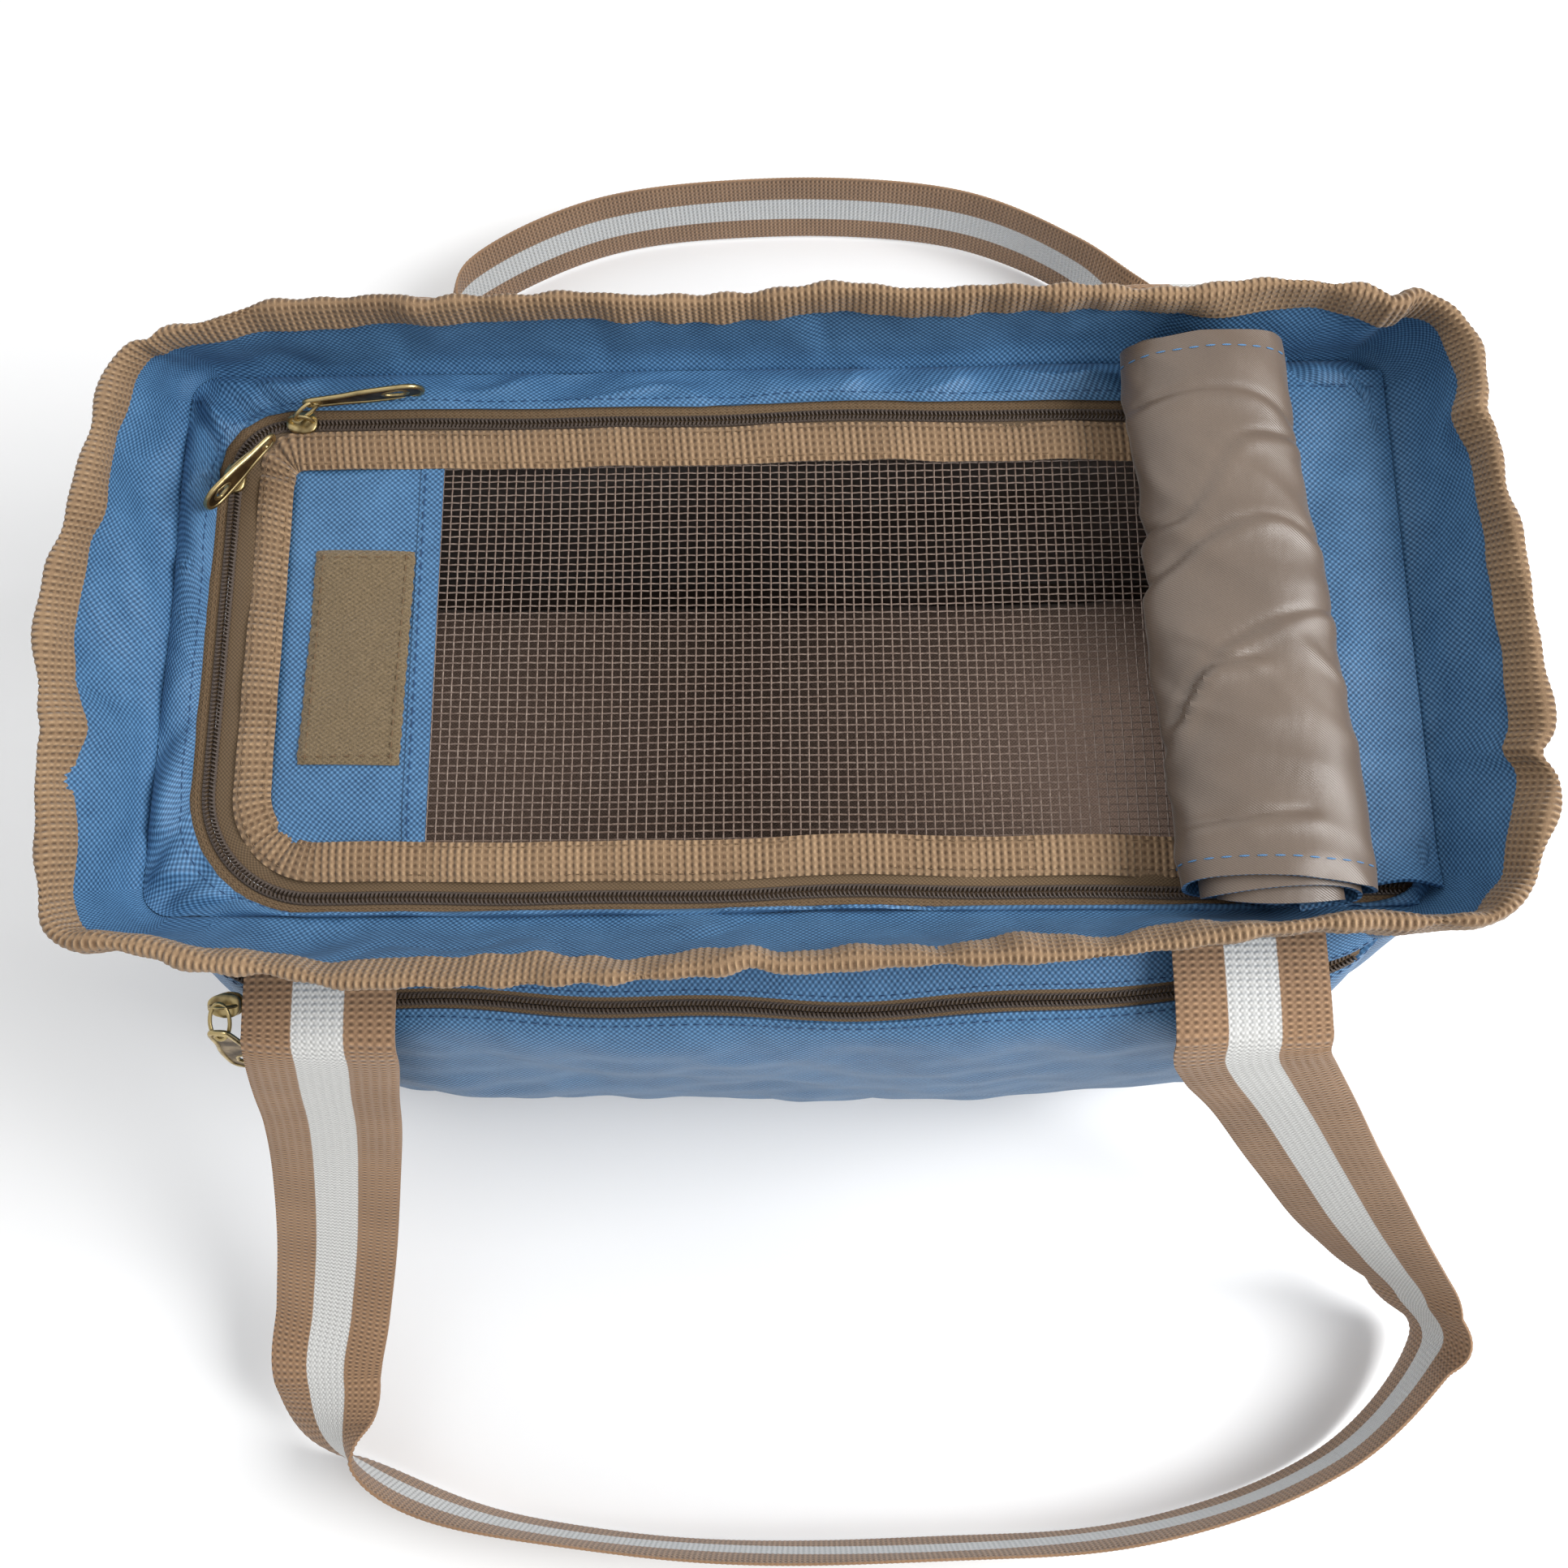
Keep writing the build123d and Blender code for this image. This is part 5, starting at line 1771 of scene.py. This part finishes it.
@dataclass
class Cover:
    """The cover rolled up at the right end: one sheet of blue cloth backed with satin."""

    back: tuple[float, float] = (146.3, 92.0)
    front: tuple[float, float] = (157.8, -95.0)
    half_width: float = 31.0
    half_height: float = 15.6
    floor: float = 260.2
    turns: float = 2.95
    seam_x: float = 212.5
    thick: float = 1.3
    columns: int = 150
    crease_depth: float = 1.0
    creases: tuple[tuple[Spot, ...], ...] = (
        ((-33, 24), (-16, 27), (4, 53), (30, 54)),
        ((-32, 3), (-18, 14), (-3, 22), (12, 24), (30, 15)),
        ((-28, -43), (-17, -25), (-7, -17), (15, -8), (32, -6)),
        ((-32, -52), (-25, -36), (-18, -27), (0, -23)),
        ((-26, 68), (-4, 71), (16, 67), (31, 55)),
        ((-27, -77), (-8, -75), (8, -74)),
    )

    def build(self) -> None:
        middle, flat_rows = self.sheet_grid()
        normals = grid_normals(middle)
        top, bottom = middle + normals * self.thick / 2, middle - normals * self.thick / 2
        pattern = Pattern()
        pattern.slab(top, bottom, finishes=(0, 1, 0))
        turn = slice(flat_rows, flat_rows + 74)
        for column in (5, self.columns - 6):
            line = bottom[turn, column] - normals[turn, column] * 0.05
            pattern.stitches(line, -normals[turn, column], 3.4, 1.7, 0.3, 2)
        hem = top[:flat_rows, self.columns - 6]
        pattern.stitches(hem, normals[:flat_rows, self.columns - 6], 2.8, 1.5, 0.26, 3)
        piece = pattern.make("rolled_cover", (OXFORD, SATIN, BLUE_THREAD, NAVY_THREAD))
        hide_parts("cover_roll", "cover_flap")
        length = lengths_along(middle[:, self.columns // 2])[-1] * MM
        LOG.info("cover length %.3f m", length)
        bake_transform(piece)
        report(piece, "door and carrier")

    def sheet_grid(self) -> tuple[Array, int]:
        """The sheet's middle surface.

        Returns:
            Its points, rows along its length and columns from its front end to its back, and how many rows
            lie flat.
        """
        t = np.linspace(0, 1, self.columns)
        axis = self.front[0] + (self.back[0] - self.front[0]) * t
        y = self.front[1] + (self.back[1] - self.front[1]) * t
        flat_rows, roll_rows = 34, 190
        share = np.linspace(0, 1, flat_rows, endpoint=False)[:, None]
        x_flat = self.seam_x + (axis[None] - self.seam_x) * share
        lift = 2.1 * share**2
        z_flat = 260.3 + lift * 0.35 + 0 * x_flat
        flat = np.stack([x_flat, np.broadcast_to(y, x_flat.shape), z_flat], -1)
        waves = Ripple(61, 22, 62, (1, 0.8, 0))(flat)
        flat[..., 2] += np.sin(np.pi * share) ** 0.5 * (0.9 + 0.9 * waves)
        curl = bell(flat[..., 0] - 200, 13) * np.clip((-80 - flat[..., 1]) / 16, 0, 1) ** 1.5
        flat[..., 2] += 5.5 * curl
        flat[..., 1] += 3.0 * curl
        theta = np.linspace(0, TAU * self.turns, roll_rows)[:, None]
        turn = theta / TAU
        wide = self.half_width - 5.0 * turn
        high = self.half_height - 3.6 * turn
        plump = 1.0 + 0.05 * np.sin(t * 5.0 + 0.8)
        angle = -math.pi / 2 - theta - 0.12 * np.sin(t * 4)[None] * np.clip(turn, 0, 1)
        squared = np.sign(np.cos(angle)) * np.abs(np.cos(angle)) ** 0.94
        x = axis[None] + wide * plump * squared
        z = self.floor + self.half_height + 0.7 + high * np.sin(angle)
        roll = np.stack([x, np.broadcast_to(y, x.shape), z], -1)
        out = np.stack([np.cos(angle), 0 * angle, np.sin(angle)], -1)
        outer = np.clip(1.15 - turn, 0, 1)[..., None] * np.clip(theta / 0.8, 0, 1)[..., None]
        unrolled = np.stack([theta * 22 + 0 * x, np.broadcast_to(y, x.shape) * 1.0, 0 * x], -1)
        slanted = unrolled.copy()
        slanted[..., 0] += 0.55 * unrolled[..., 1]
        broad = Ripple(62, 46, 95, (1.0, 0.5, 0))(slanted)
        folds = Ripple(63, 30, 64, (1.0, 0.45, 0)).folds(slanted)
        fine = Ripple(64, 14, 30, (1.0, 0.5, 0))(slanted)
        place = np.stack([x - axis[None], np.broadcast_to(y, x.shape)], -1)[:, :, None]
        for mark in self.creases:
            seam = smooth_line([(a, b, 0.0) for a, b in mark], 60)[:, :2]
            away = np.linalg.norm(place - seam, axis=-1).min(-1)
            below = np.linalg.norm(place + np.array([0, 3.4]) - seam, axis=-1).min(-1)
            folds = folds - self.crease_depth * bell(away, 1.7) + 0.75 * bell(below, 3.2)
        roll = roll + out * outer * (1.0 * broad + 1.5 * folds - 0.9 + 0.25 * fine)[..., None]
        ends = (np.abs(t - 0.5) * 2)[None] ** 8 * 1.4
        roll[..., 1] += ends * np.sin(theta * 1.7 + 0.4) * np.sign(t - 0.5)[None]
        roll[..., 1] -= 2.6 * turn * (1 - t) ** 3
        tail = np.clip((turn - self.turns + 0.3) / 0.3, 0, 1)[..., None]
        roll = roll - out * tail * 0.6
        return np.concatenate([flat, roll]), flat_rows


# ---------------------------------------------------------------- handles


@dataclass
class Strap:
    """A webbing handle that lies on the floor, sewn to the wall at both ends."""

    name: str
    body: str
    start: Point
    end: Point
    nodes: tuple[str, ...]
    route: Sequence[tuple[Point, Point]]
    width: float = 50.0
    thick: float = 2.2

    def build(self) -> None:
        """Builds the strap along its route and hides the parts of the frame that it stands for."""
        knots = np.array([[*centre, *across] for centre, across in self.route], float)
        length = lengths_along(smooth_line(knots, 2000))[-1]
        count = round(length / WEBBING.rib) * RIB_STEPS
        line = smooth_line(knots, count)
        centre = line[:, :3]
        ahead = unit(np.gradient(centre, axis=0))
        across = unit(line[:, 3:] - ahead * (line[:, 3:] * ahead).sum(1, keepdims=True))
        offsets = np.linspace(-self.width / 2, self.width / 2, 15)
        curl = Ripple(71, 70, 160)(centre) * 0.6
        over = unit(np.cross(ahead, across))
        grid = centre[None] + across[None] * offsets[:, None, None]
        grid = grid + over[None] * (curl[None] * (offsets[:, None] / 25) ** 2)[..., None]
        edge = 1 - 0.55 * (np.abs(offsets) / (self.width / 2)) ** 10
        thickness = self.thick * edge[:, None] + ribs(count, 0.16)[None]
        along, over_width = np.arange(count) * WEBBING.rib / RIB_STEPS, offsets + self.width / 2
        maps = np.stack(np.broadcast_arrays(along[None, :], over_width[:, None]), -1)
        pattern = Pattern()
        pattern.cloth(grid, thickness, maps)
        piece = pattern.make(self.name, (WEBBING,), 75)
        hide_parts(*self.nodes)
        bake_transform(piece)
        report(piece, f"carrier and {self.body}")


ALONG = (1.0, 0.0, 0.0)
UPRIGHT = (0.0, 0.0, 1.0)
FRONT_ROUTE = (
    ((-151, -101, 255.0), ALONG), ((-151, -120, 255.2), ALONG), ((-151, -134, 254.4), ALONG),
    ((-151.4, -141, 251), ALONG), ((-153, -145.5, 240), ALONG), ((-161, -152, 206), ALONG),
    ((-169, -161, 168), ALONG), ((-180, -176, 122), ALONG), ((-191, -203, 76), (1, -0.05, 0)),
    ((-199, -232, 48), (1, -0.1, 0.05)), ((-203, -262, 36), (1, -0.2, 0.15)),
    ((-190, -296, 28), (0.6, -0.3, 0.8)), ((-120, -322, 27), UPRIGHT),
    ((0, -332, 27), UPRIGHT), ((140, -325, 27), UPRIGHT), ((228, -297, 28), UPRIGHT),
    ((273, -252, 36), (0.1, 0.0, 1)), ((264, -229, 48), (0.35, -0.1, 1)),
    ((247, -214, 68), (0.9, -0.25, 0.75)), ((226, -197, 98), (1, -0.2, 0.35)),
    ((203, -178, 138), (1, -0.15, 0.2)), ((180, -161, 182), (1, -0.1, 0.1)),
    ((161, -150, 220), ALONG), ((153, -145.5, 240), ALONG), ((151.4, -141, 251), ALONG),
    ((151, -134, 254.4), ALONG), ((151, -120, 255.2), ALONG), ((151, -101, 255.0), ALONG),
)  # fmt: skip
BACK_ROUTE = (
    ((-151, 101, 256.4), ALONG), ((-151, 116, 256.6), ALONG), ((-151, 126, 256.0), ALONG),
    ((-151, 131.5, 253), ALONG), ((-152, 137, 242), ALONG), ((-154, 151, 208), ALONG),
    ((-158, 162, 155), ALONG), ((-163, 172, 105), ALONG), ((-176, 206, 56), (1, 0.1, 0.25)),
    ((-182, 240, 34), (0.8, 0.3, 0.75)), ((-164, 280, 27), (0.2, 0.1, 1)), ((-95, 315, 27), UPRIGHT),
    ((0, 325, 27), UPRIGHT), ((90, 315, 27), UPRIGHT), ((150, 284, 28), UPRIGHT),
    ((171, 243, 39), (0.5, -0.1, 1)), ((165, 205, 80), (1, -0.1, 0.4)), ((150, 172, 150), ALONG),
    ((147, 150, 214), ALONG), ((149.5, 137, 242), ALONG), ((151, 131.5, 253), ALONG),
    ((151, 126, 256.0), ALONG), ((151, 116, 256.6), ALONG), ((151, 101, 256.4), ALONG),
)  # fmt: skip


# ---------------------------------------------------------------- front pocket


@dataclass
class Pocket:
    """The bulging pocket on the front wall, with a zip along its top."""

    half_length: float = 199.0
    section: tuple[tuple[float, float], ...] = (
        (-103.5, 247.5), (-108, 247), (-118, 244.5), (-126, 242), (-134, 237.5), (-140, 222), (-143.5, 190),
        (-146, 135), (-142.5, 70), (-131, 28), (-121.5, 16.5),
    )  # fmt: skip
    zip_y: float = -125.5
    slot: float = 3.6

    def build(self) -> None:
        """Builds the panel, the tapes and the coil."""
        self.panel()
        self.tape()
        self.teeth()

    def profile(self) -> Array:
        """The section as fine points, from its top edge down."""
        return smooth_line([(y, z, 0.0) for y, z in self.section], 400)

    def bow(self, x: Array) -> Array:
        """How much of its full depth the pocket has at a place along it."""
        end = np.clip(1 - (np.abs(x) / self.half_length) ** 9, 0, 1)
        return end * (0.90 + 0.12 * np.cos(x / 125) - 0.02 * np.cos(x / 23))

    def place(self, x: Array, shares: Array) -> Array:
        """Points on the pocket's face.

        Args:
            x: places along the pocket, one row for each share.
            shares: share of the way down its section, as a length in millimetres.

        Returns:
            The points.
        """
        fine = self.profile()
        along = lengths_along(fine)
        y, z = np.interp(shares, along, fine[:, 0]), np.interp(shares, along, fine[:, 1])
        wall = -np.interp(z, FORM.heights, FORM.fronts) - 0.6
        deep = np.minimum(wall + (y - wall) * self.bow(x), wall)
        return np.stack([x, deep, z], -1)

    def zip_line(self) -> float:
        """How far down the section the zip lies."""
        fine = self.profile()
        nearing = slice(0, int(np.argmin(fine[:, 0])))
        return float(np.interp(-self.zip_y, -fine[nearing, 0], lengths_along(fine)[nearing]))

    def wave(self, x: Array) -> Array:
        """How far the zip strays from its straight line."""
        return 1.5 * np.sin(x / 34 + 1.1) + 0.9 * np.sin(x / 14) + 2.0 * np.cos(x / 128)

    def panel(self) -> None:
        """The cloth above and below the zip."""
        middle = self.zip_line()
        x = np.linspace(-self.half_length, self.half_length, 190)
        pattern = Pattern()
        total = lengths_along(self.profile())[-1]
        for low, high, rows in ((0.2, -self.slot, 8), (self.slot, None, 70)):
            wave = self.wave(x)[None]
            share = np.linspace(0, 1, rows)[:, None]
            near = middle + (high if high is not None else low) + wave
            down = low + (near - low) * share if high is not None else near + (total - near) * share
            gx = np.broadcast_to(x[None], down.shape)
            grid = self.place(gx, down)
            normals = -grid_normals(grid)
            soft = np.clip((239 - grid[..., 2]) / 25, 0, 1)
            soft = soft * np.clip((self.half_length - np.abs(gx)) / 20, 0, 1)
            wave3 = Ripple(81, 40, 120, (0.8, 1, 1))(grid) + 0.5 * Ripple(82, 20, 48, (1, 1, 1))(grid)
            grid = grid + normals * (1.3 * wave3 * soft)[..., None]
            pattern.cloth(grid[::-1], 1.4)
            shift = -2.2 if high is not None else 2.2
            seam = self.place(x, (near + shift)[0])
            seam[:, 1] -= 0.75
            seam[:, 2] += 0.55
            pattern.stitches(seam, (0, -0.3, 0.95), 2.4, 1.4, 0.26)
        piece = pattern.make("pocket_cloth", (OXFORD, NAVY_THREAD))
        settle(piece, "carrier", "blue_oxford", "pocket_panel")

    def band(self, low: float, high: float, drop: float, rows: int, reach: float) -> Array:
        """A strip beside the zip.

        Args:
            low: its edge towards the wall, from the zip.
            high: its other edge.
            drop: how far it lies under the pocket's face.
            rows: number of rows of points.
            reach: half its length.

        Returns:
            Rows of points along the zip.
        """
        x = np.linspace(-reach, reach, 260)
        down = self.zip_line() + self.wave(x)[None] + np.linspace(low, high, rows)[:, None]
        grid = self.place(np.broadcast_to(x[None], down.shape), down)
        grid[..., 2] -= drop
        return grid

    def tape(self) -> None:
        """The tape on both sides of the coil."""
        pattern = Pattern()
        for low, high in ((-7.0, -0.2), (0.2, 7.0)):
            pattern.cloth(self.band(low, high, 0.9, 5, 191)[::-1], 0.7)
        settle(pattern.make("pocket_tape", (ZIP_TAPE,)), "carrier", "olive_tape", "pocket_zip_tape")

    def teeth(self) -> None:
        """The coil."""
        line = self.band(0, 0, 0.2, 1, 188)[0]
        pattern = Pattern()
        for side in (-1.0, 1.0):
            coil_teeth(pattern, line, side, unit(np.array([0, -0.275, 0.962])))
        settle(pattern.make("pocket_teeth", (COIL,)), "carrier", "zip_coil", "pocket_zip_coil")


# ---------------------------------------------------------------- brass parts


@dataclass
class Slider:
    """A zip slider with its bail and its pull, which hangs on a link."""

    name: str
    at: Point
    travel: Point
    face: Point
    eye: Point
    aim: Point
    flat: Point
    length: float

    def build(self) -> None:
        """Builds the slider on its own body and the pull on its own."""
        travel, face = unit(np.array(self.travel)), unit(np.array(self.face))
        side = np.cross(face, travel)
        at = np.array(self.at)
        pattern = Pattern()
        for sign in (1.0, -1.0):
            self.plate(pattern, at + face * sign * 2.05, travel, side, face * sign)
        neck = np.linspace(at + travel * 3.0 - face * 1.5, at + travel * 3.0 + face * 1.5, 4)
        pattern.tube(neck, 0.9, 8, up=tuple(travel + 0.01))
        arch = np.linspace(0, math.pi, 15)
        bail = at + np.outer(4.1 * np.cos(arch), travel) + np.outer(2.5 + 4.6 * np.sin(arch), face)
        pattern.tube(bail, 0.85, 8, flat=0.75, up=tuple(side + 0.001))
        piece = pattern.make(f"{self.name}_slide", (BRASS,), 50)
        settle(piece, f"{self.name}_zip_slider", "antique_brass", f"{self.name}_zip_slider")
        self.pull(at + face * 6.6)

    def plate(self, pattern: Pattern, centre: Array, travel: Array, side: Array, face: Array) -> None:
        """One domed plate of the slider, wide at its nose and narrow at its tail."""
        angle = np.linspace(0, TAU, 28, endpoint=False)
        wide = 4.1 - 0.9 * (np.cos(angle) < 0) * np.abs(np.cos(angle)) ** 0.6
        x = 5.4 * np.sign(np.cos(angle)) * np.abs(np.cos(angle)) ** 0.7
        y = wide * np.sign(np.sin(angle)) * np.abs(np.sin(angle)) ** 0.75
        rows = []
        section = ((0.02, -0.75), (1.0, -0.75), (1.0, 0.35), (0.9, 0.72), (0.6, 0.86), (0.25, 0.9))
        section += ((0.02, 0.9),)
        for scale, height in section:
            rows.append(centre + np.outer(x * scale, travel) + np.outer(y * scale, side) + face * height)
        grid = np.stack(rows)
        flip = float(np.dot(np.cross(travel, side), face)) < 0
        pattern.grid(grid, close_cols=True, flip=flip)

    def pull(self, hook: Array) -> None:
        """The flat pull with a raised rim, and the link that joins it to the bail."""
        eye, aim, flat = np.array(self.eye), unit(np.array(self.aim)), unit(np.array(self.flat))
        flat = unit(flat - aim * (flat @ aim))
        side = np.cross(flat, aim)
        length = self.length
        outline = np.array(
            [(-3.0, 2.4), (0.5, 3.2), (length * 0.25, 3.9), (length * 0.45, 5.3), (length * 0.7, 6.0),
             (length - 4.2, 5.7), (length - 1.2, 3.4), (length - 0.3, 0.0)]
        )  # fmt: skip
        mirrored = outline[::-1][1:] * np.array([1, -1])
        rim = np.vstack([outline, mirrored, [[-3.6, 0.0]]])
        rim = smooth_line(np.hstack([rim, np.zeros((len(rim), 1))]), 70, True)
        hole = self.ring(1.9, 1.9, 0.0, 16)
        cut = self.ring(length * 0.12, 3.3, length * 0.74, 24)
        cut[:, 1] *= np.where(cut[:, 0] > length * 0.74, 1.0, 0.82)
        pattern = Pattern()
        for line, radius in ((rim, 0.95), (hole, 0.8), (cut, 0.7)):
            path = eye + np.outer(line[:, 0], aim) + np.outer(line[:, 1], side)
            pattern.tube(path, radius, 8, closed=True, up=tuple(flat + 0.001))
        self.web(pattern, (rim, hole, cut), eye, (aim, side, flat))
        middle = (hook + eye) / 2
        reach = np.linalg.norm(eye - hook) / 2 + 1.3
        toward = unit(eye - hook)
        across = unit(np.cross(toward, flat) + 0.02 * side)
        angle = np.linspace(0, TAU, 30, endpoint=False)
        link = middle + np.outer(np.cos(angle) * reach, toward) + np.outer(np.sin(angle) * 3.3, across)
        pattern.tube(link, 0.72, 8, closed=True, up=tuple(np.cross(toward, across)))
        piece = pattern.make(f"{self.name}_tag", (BRASS, DARK_BRASS), 50)
        settle(piece, f"{self.name}_zip_pull", "antique_brass", f"{self.name}_zip_pull")

    @staticmethod
    def ring(a: float, b: float, centre: float, count: int) -> Array:
        """A closed oval in the pull's plane."""
        angle = np.linspace(0, TAU, count, endpoint=False)
        return np.stack([centre + a * np.cos(angle), b * np.sin(angle), 0 * angle], 1)

    @staticmethod
    def web(pattern: Pattern, lines: Sequence[Array], eye: Array, axes: tuple[Array, Array, Array]) -> None:
        """Adds the pull's thin dark plate between its rim and its two openings.

        Args:
            pattern: the piece that takes it.
            lines: its rim, its eye and the opening near its end, in the pull's plane.
            eye: where the eye is.
            axes: directions from the eye to the tip, across the pull and through it.
        """
        aim, side, flat = axes
        form = bmesh.new()
        for line in lines:
            corners = [form.verts.new((p[0], p[1], 0)) for p in line]
            for a, b in zip(corners, corners[1:] + corners[:1]):
                form.edges.new((a, b))
        bmesh.ops.triangle_fill(form, edges=form.edges[:], use_beauty=True)
        form.verts.ensure_lookup_table()
        plan = np.array([v.co[:2] for v in form.verts])
        faces = np.array([[v.index for v in f.verts] for f in form.faces])
        form.free()
        base = eye + np.outer(plan[:, 0], aim) + np.outer(plan[:, 1], side)
        for sign in (1, -1):
            turned = sign * np.cross(*(plan[faces[0][1:]] - plan[faces[0][0]]))
            order = faces if turned > 0 else faces[:, ::-1]
            shown = base + flat * 0.42 * sign
            pattern.add(shown, order, plan[order], 1)


@dataclass
class RingTab:
    """A folded cloth tab with a metal ring for the shoulder strap."""

    end: str
    sign: int
    y: float = -7.0
    z: float = 277.0
    x: float = 241.0
    width: float = 24.0

    def build(self) -> None:
        """Builds the tab and its ring."""
        row = FORM.surface([self.z])[0, FORM.span(Side.RIGHT if self.sign > 0 else Side.LEFT)]
        near = row[np.abs(row[:, 1] - self.y) < self.width / 2]
        wall = float(np.abs(near[:, 0]).max()) + 2.4
        angle = np.linspace(math.pi * 0.5, -math.pi * 0.5, 12)
        top = [(x, 1.1 + 0.5 * math.sin((x - wall) / 6)) for x in np.linspace(wall - 3, self.x - 1.5, 8)]
        bend = [(self.x + 2.7 * math.cos(a) - 0.2, 2.7 * math.sin(a)) for a in angle]
        under = [(x, -1.1 - 0.3 * math.sin((x - wall) / 6)) for x in np.linspace(self.x - 1.5, wall - 3, 8)]
        section = np.array(top + bend + under)
        y = np.linspace(-self.width / 2, self.width / 2, 14) + self.y
        x, z = self.sign * section[:, :1], self.z + section[:, 1:]
        grid = np.stack(np.broadcast_arrays(x, y[None], z), -1)
        pattern = Pattern()
        pattern.cloth(grid if self.sign > 0 else grid[:, ::-1], 1.1)
        seam = np.linspace([0, -9.5, 0], [0, 9.5, 0], 20)
        seam = seam + np.array([self.sign * 234.0, self.y, self.z + 2.1])
        pattern.stitches(seam, UP, 2.2, 1.2, 0.26)
        piece = pattern.make(f"{self.end}_tab_loop", (OXFORD, NAVY_THREAD))
        settle(piece, "carrier", "blue_oxford", f"{self.end}_ring_tab")
        ring = Pattern()
        half, drop, r = 16.0, 20.0, 3.0
        corners = [(-half + r, 0), (half - r, 0), (half, -r), (half, -drop + r), (half - r, -drop)]
        corners += [(-half + r, -drop), (-half, -drop + r), (-half, -r)]
        line = np.array([[self.sign * self.x, self.y + a, self.z + b] for a, b in corners])
        path = smooth_line(line, 90, True)
        ring.tube(path, 1.7, 12, closed=True, up=(float(self.sign), 0.001, 0.001))
        piece = ring.make(f"{self.end}_ring", (BRASS,))
        settle(piece, f"{self.end}_strap_ring", "antique_brass", f"{self.end}_strap_ring")


# ---------------------------------------------------------------- studio


@dataclass
class Studio:
    """The floor, the soft light and the camera."""

    camera_at: Point = (9.871, -198.009, 779.241)
    camera_right: Point = (0.999792, -0.006325, -0.019371)
    camera_up: Point = (0.011197, 0.964752, 0.262921)
    lens: float = 37.267

    def build(self) -> None:
        """Sets the studio up."""
        scene = bpy.context.scene
        scene.view_settings.view_transform = "Standard"
        lens = bpy.data.cameras.new("camera")
        lens.lens, lens.sensor_width, lens.sensor_height = self.lens, 36.0, 36.0
        camera = bpy.data.objects.new("camera", lens)
        right, up = Vector(self.camera_right).normalized(), Vector(self.camera_up)
        back = right.cross(up).normalized()
        turn = Matrix((right, back.cross(right), back)).transposed()
        camera.matrix_world = Matrix.Translation(Vector(self.camera_at) * MM) @ turn.to_4x4()
        lens.clip_start, lens.clip_end = 0.05, 20
        scene.collection.objects.link(camera)
        scene.camera = camera
        mesh = bpy.data.meshes.new("studio_floor")
        mesh.from_pydata([(-6, -6, 0), (6, -6, 0), (6, 6, 0), (-6, 6, 0)], [], [(0, 1, 2, 3)])
        floor = bpy.data.objects.new("studio_floor", mesh)
        floor.location.z = -0.0005
        mesh.uv_layers.new(name=CLOTH_MAP)
        mesh.materials.append(FLOOR.material())
        scene.collection.objects.link(floor)
        world = bpy.data.worlds.new("studio")
        world.use_nodes = True
        world.node_tree.nodes["Background"].inputs["Color"].default_value = (1, 1, 1, 1)
        world.node_tree.nodes["Background"].inputs["Strength"].default_value = 0.70
        scene.world = world
        self.lamp("window", (1.15, -0.2, 1.25), 0.8, 26)
        self.lamp("room", (-0.7, 0.9, 1.7), 1.6, 6)

    def lamp(self, name: str, place: Point, size: float, power: float) -> None:
        """A square soft light aimed at the carrier."""
        light = bpy.data.lights.new(name, "AREA")
        light.size, light.energy = size, power
        lamp = bpy.data.objects.new(name, light)
        lamp.location = place
        lamp.rotation_euler = (Vector((0, 0, 0.2)) - Vector(place)).to_track_quat("-Z", "Y").to_euler()
        bpy.context.scene.collection.objects.link(lamp)


def main() -> None:
    """Builds the studio and every sub-assembly, in order."""
    logging.basicConfig(level=logging.INFO, format="%(message)s")
    slope = (0.0, -0.275, 0.962)
    assemblies = (
        Studio(),
        Walls(),
        Base(),
        TopFrame(),
        Door(),
        Cover(),
        Pocket(),
        Strap(
            "front_webbing", "front_handle", (0, -0.1360, 0.2560), (0, -0.1460, 0.2400),
            ("front_handle", "front_left_handle_anchor", "front_right_handle_anchor"), FRONT_ROUTE,
        ),
        Strap(
            "back_webbing", "back_handle", (0, 0.1270, 0.2575), (0, 0.1370, 0.2420),
            ("back_handle", "back_left_handle_anchor", "back_right_handle_anchor"), BACK_ROUTE,
        ),
        Slider(
            "back", (-170, 79, 257), (1, 0, 0), (0, 0, 1), (-163.5, 83.5, 265.6), (1, 0.12, 0),
            (-0.12, 1, 0.25), 38,
        ),
        Slider(
            "left", (-192.5, 58, 257), (0, -1, 0), (0, 0, 1), (-179.1, 66.3, 267.9), (-0.628, -0.778, 0),
            (-0.778, 0.628, 0.2), 30,
        ),
        Slider(
            "pocket", (-186, -125.5, 241.8), (1, 0, 0), slope, (-186, -136.1, 244.4), (0, -0.18, -1),
            (0, -1, 0.18), 36,
        ),
        RingTab("left", -1),
        RingTab("right", 1),
    )  # fmt: skip
    for assembly in assemblies:
        assembly.build()


if __name__ == "__main__":
    main()
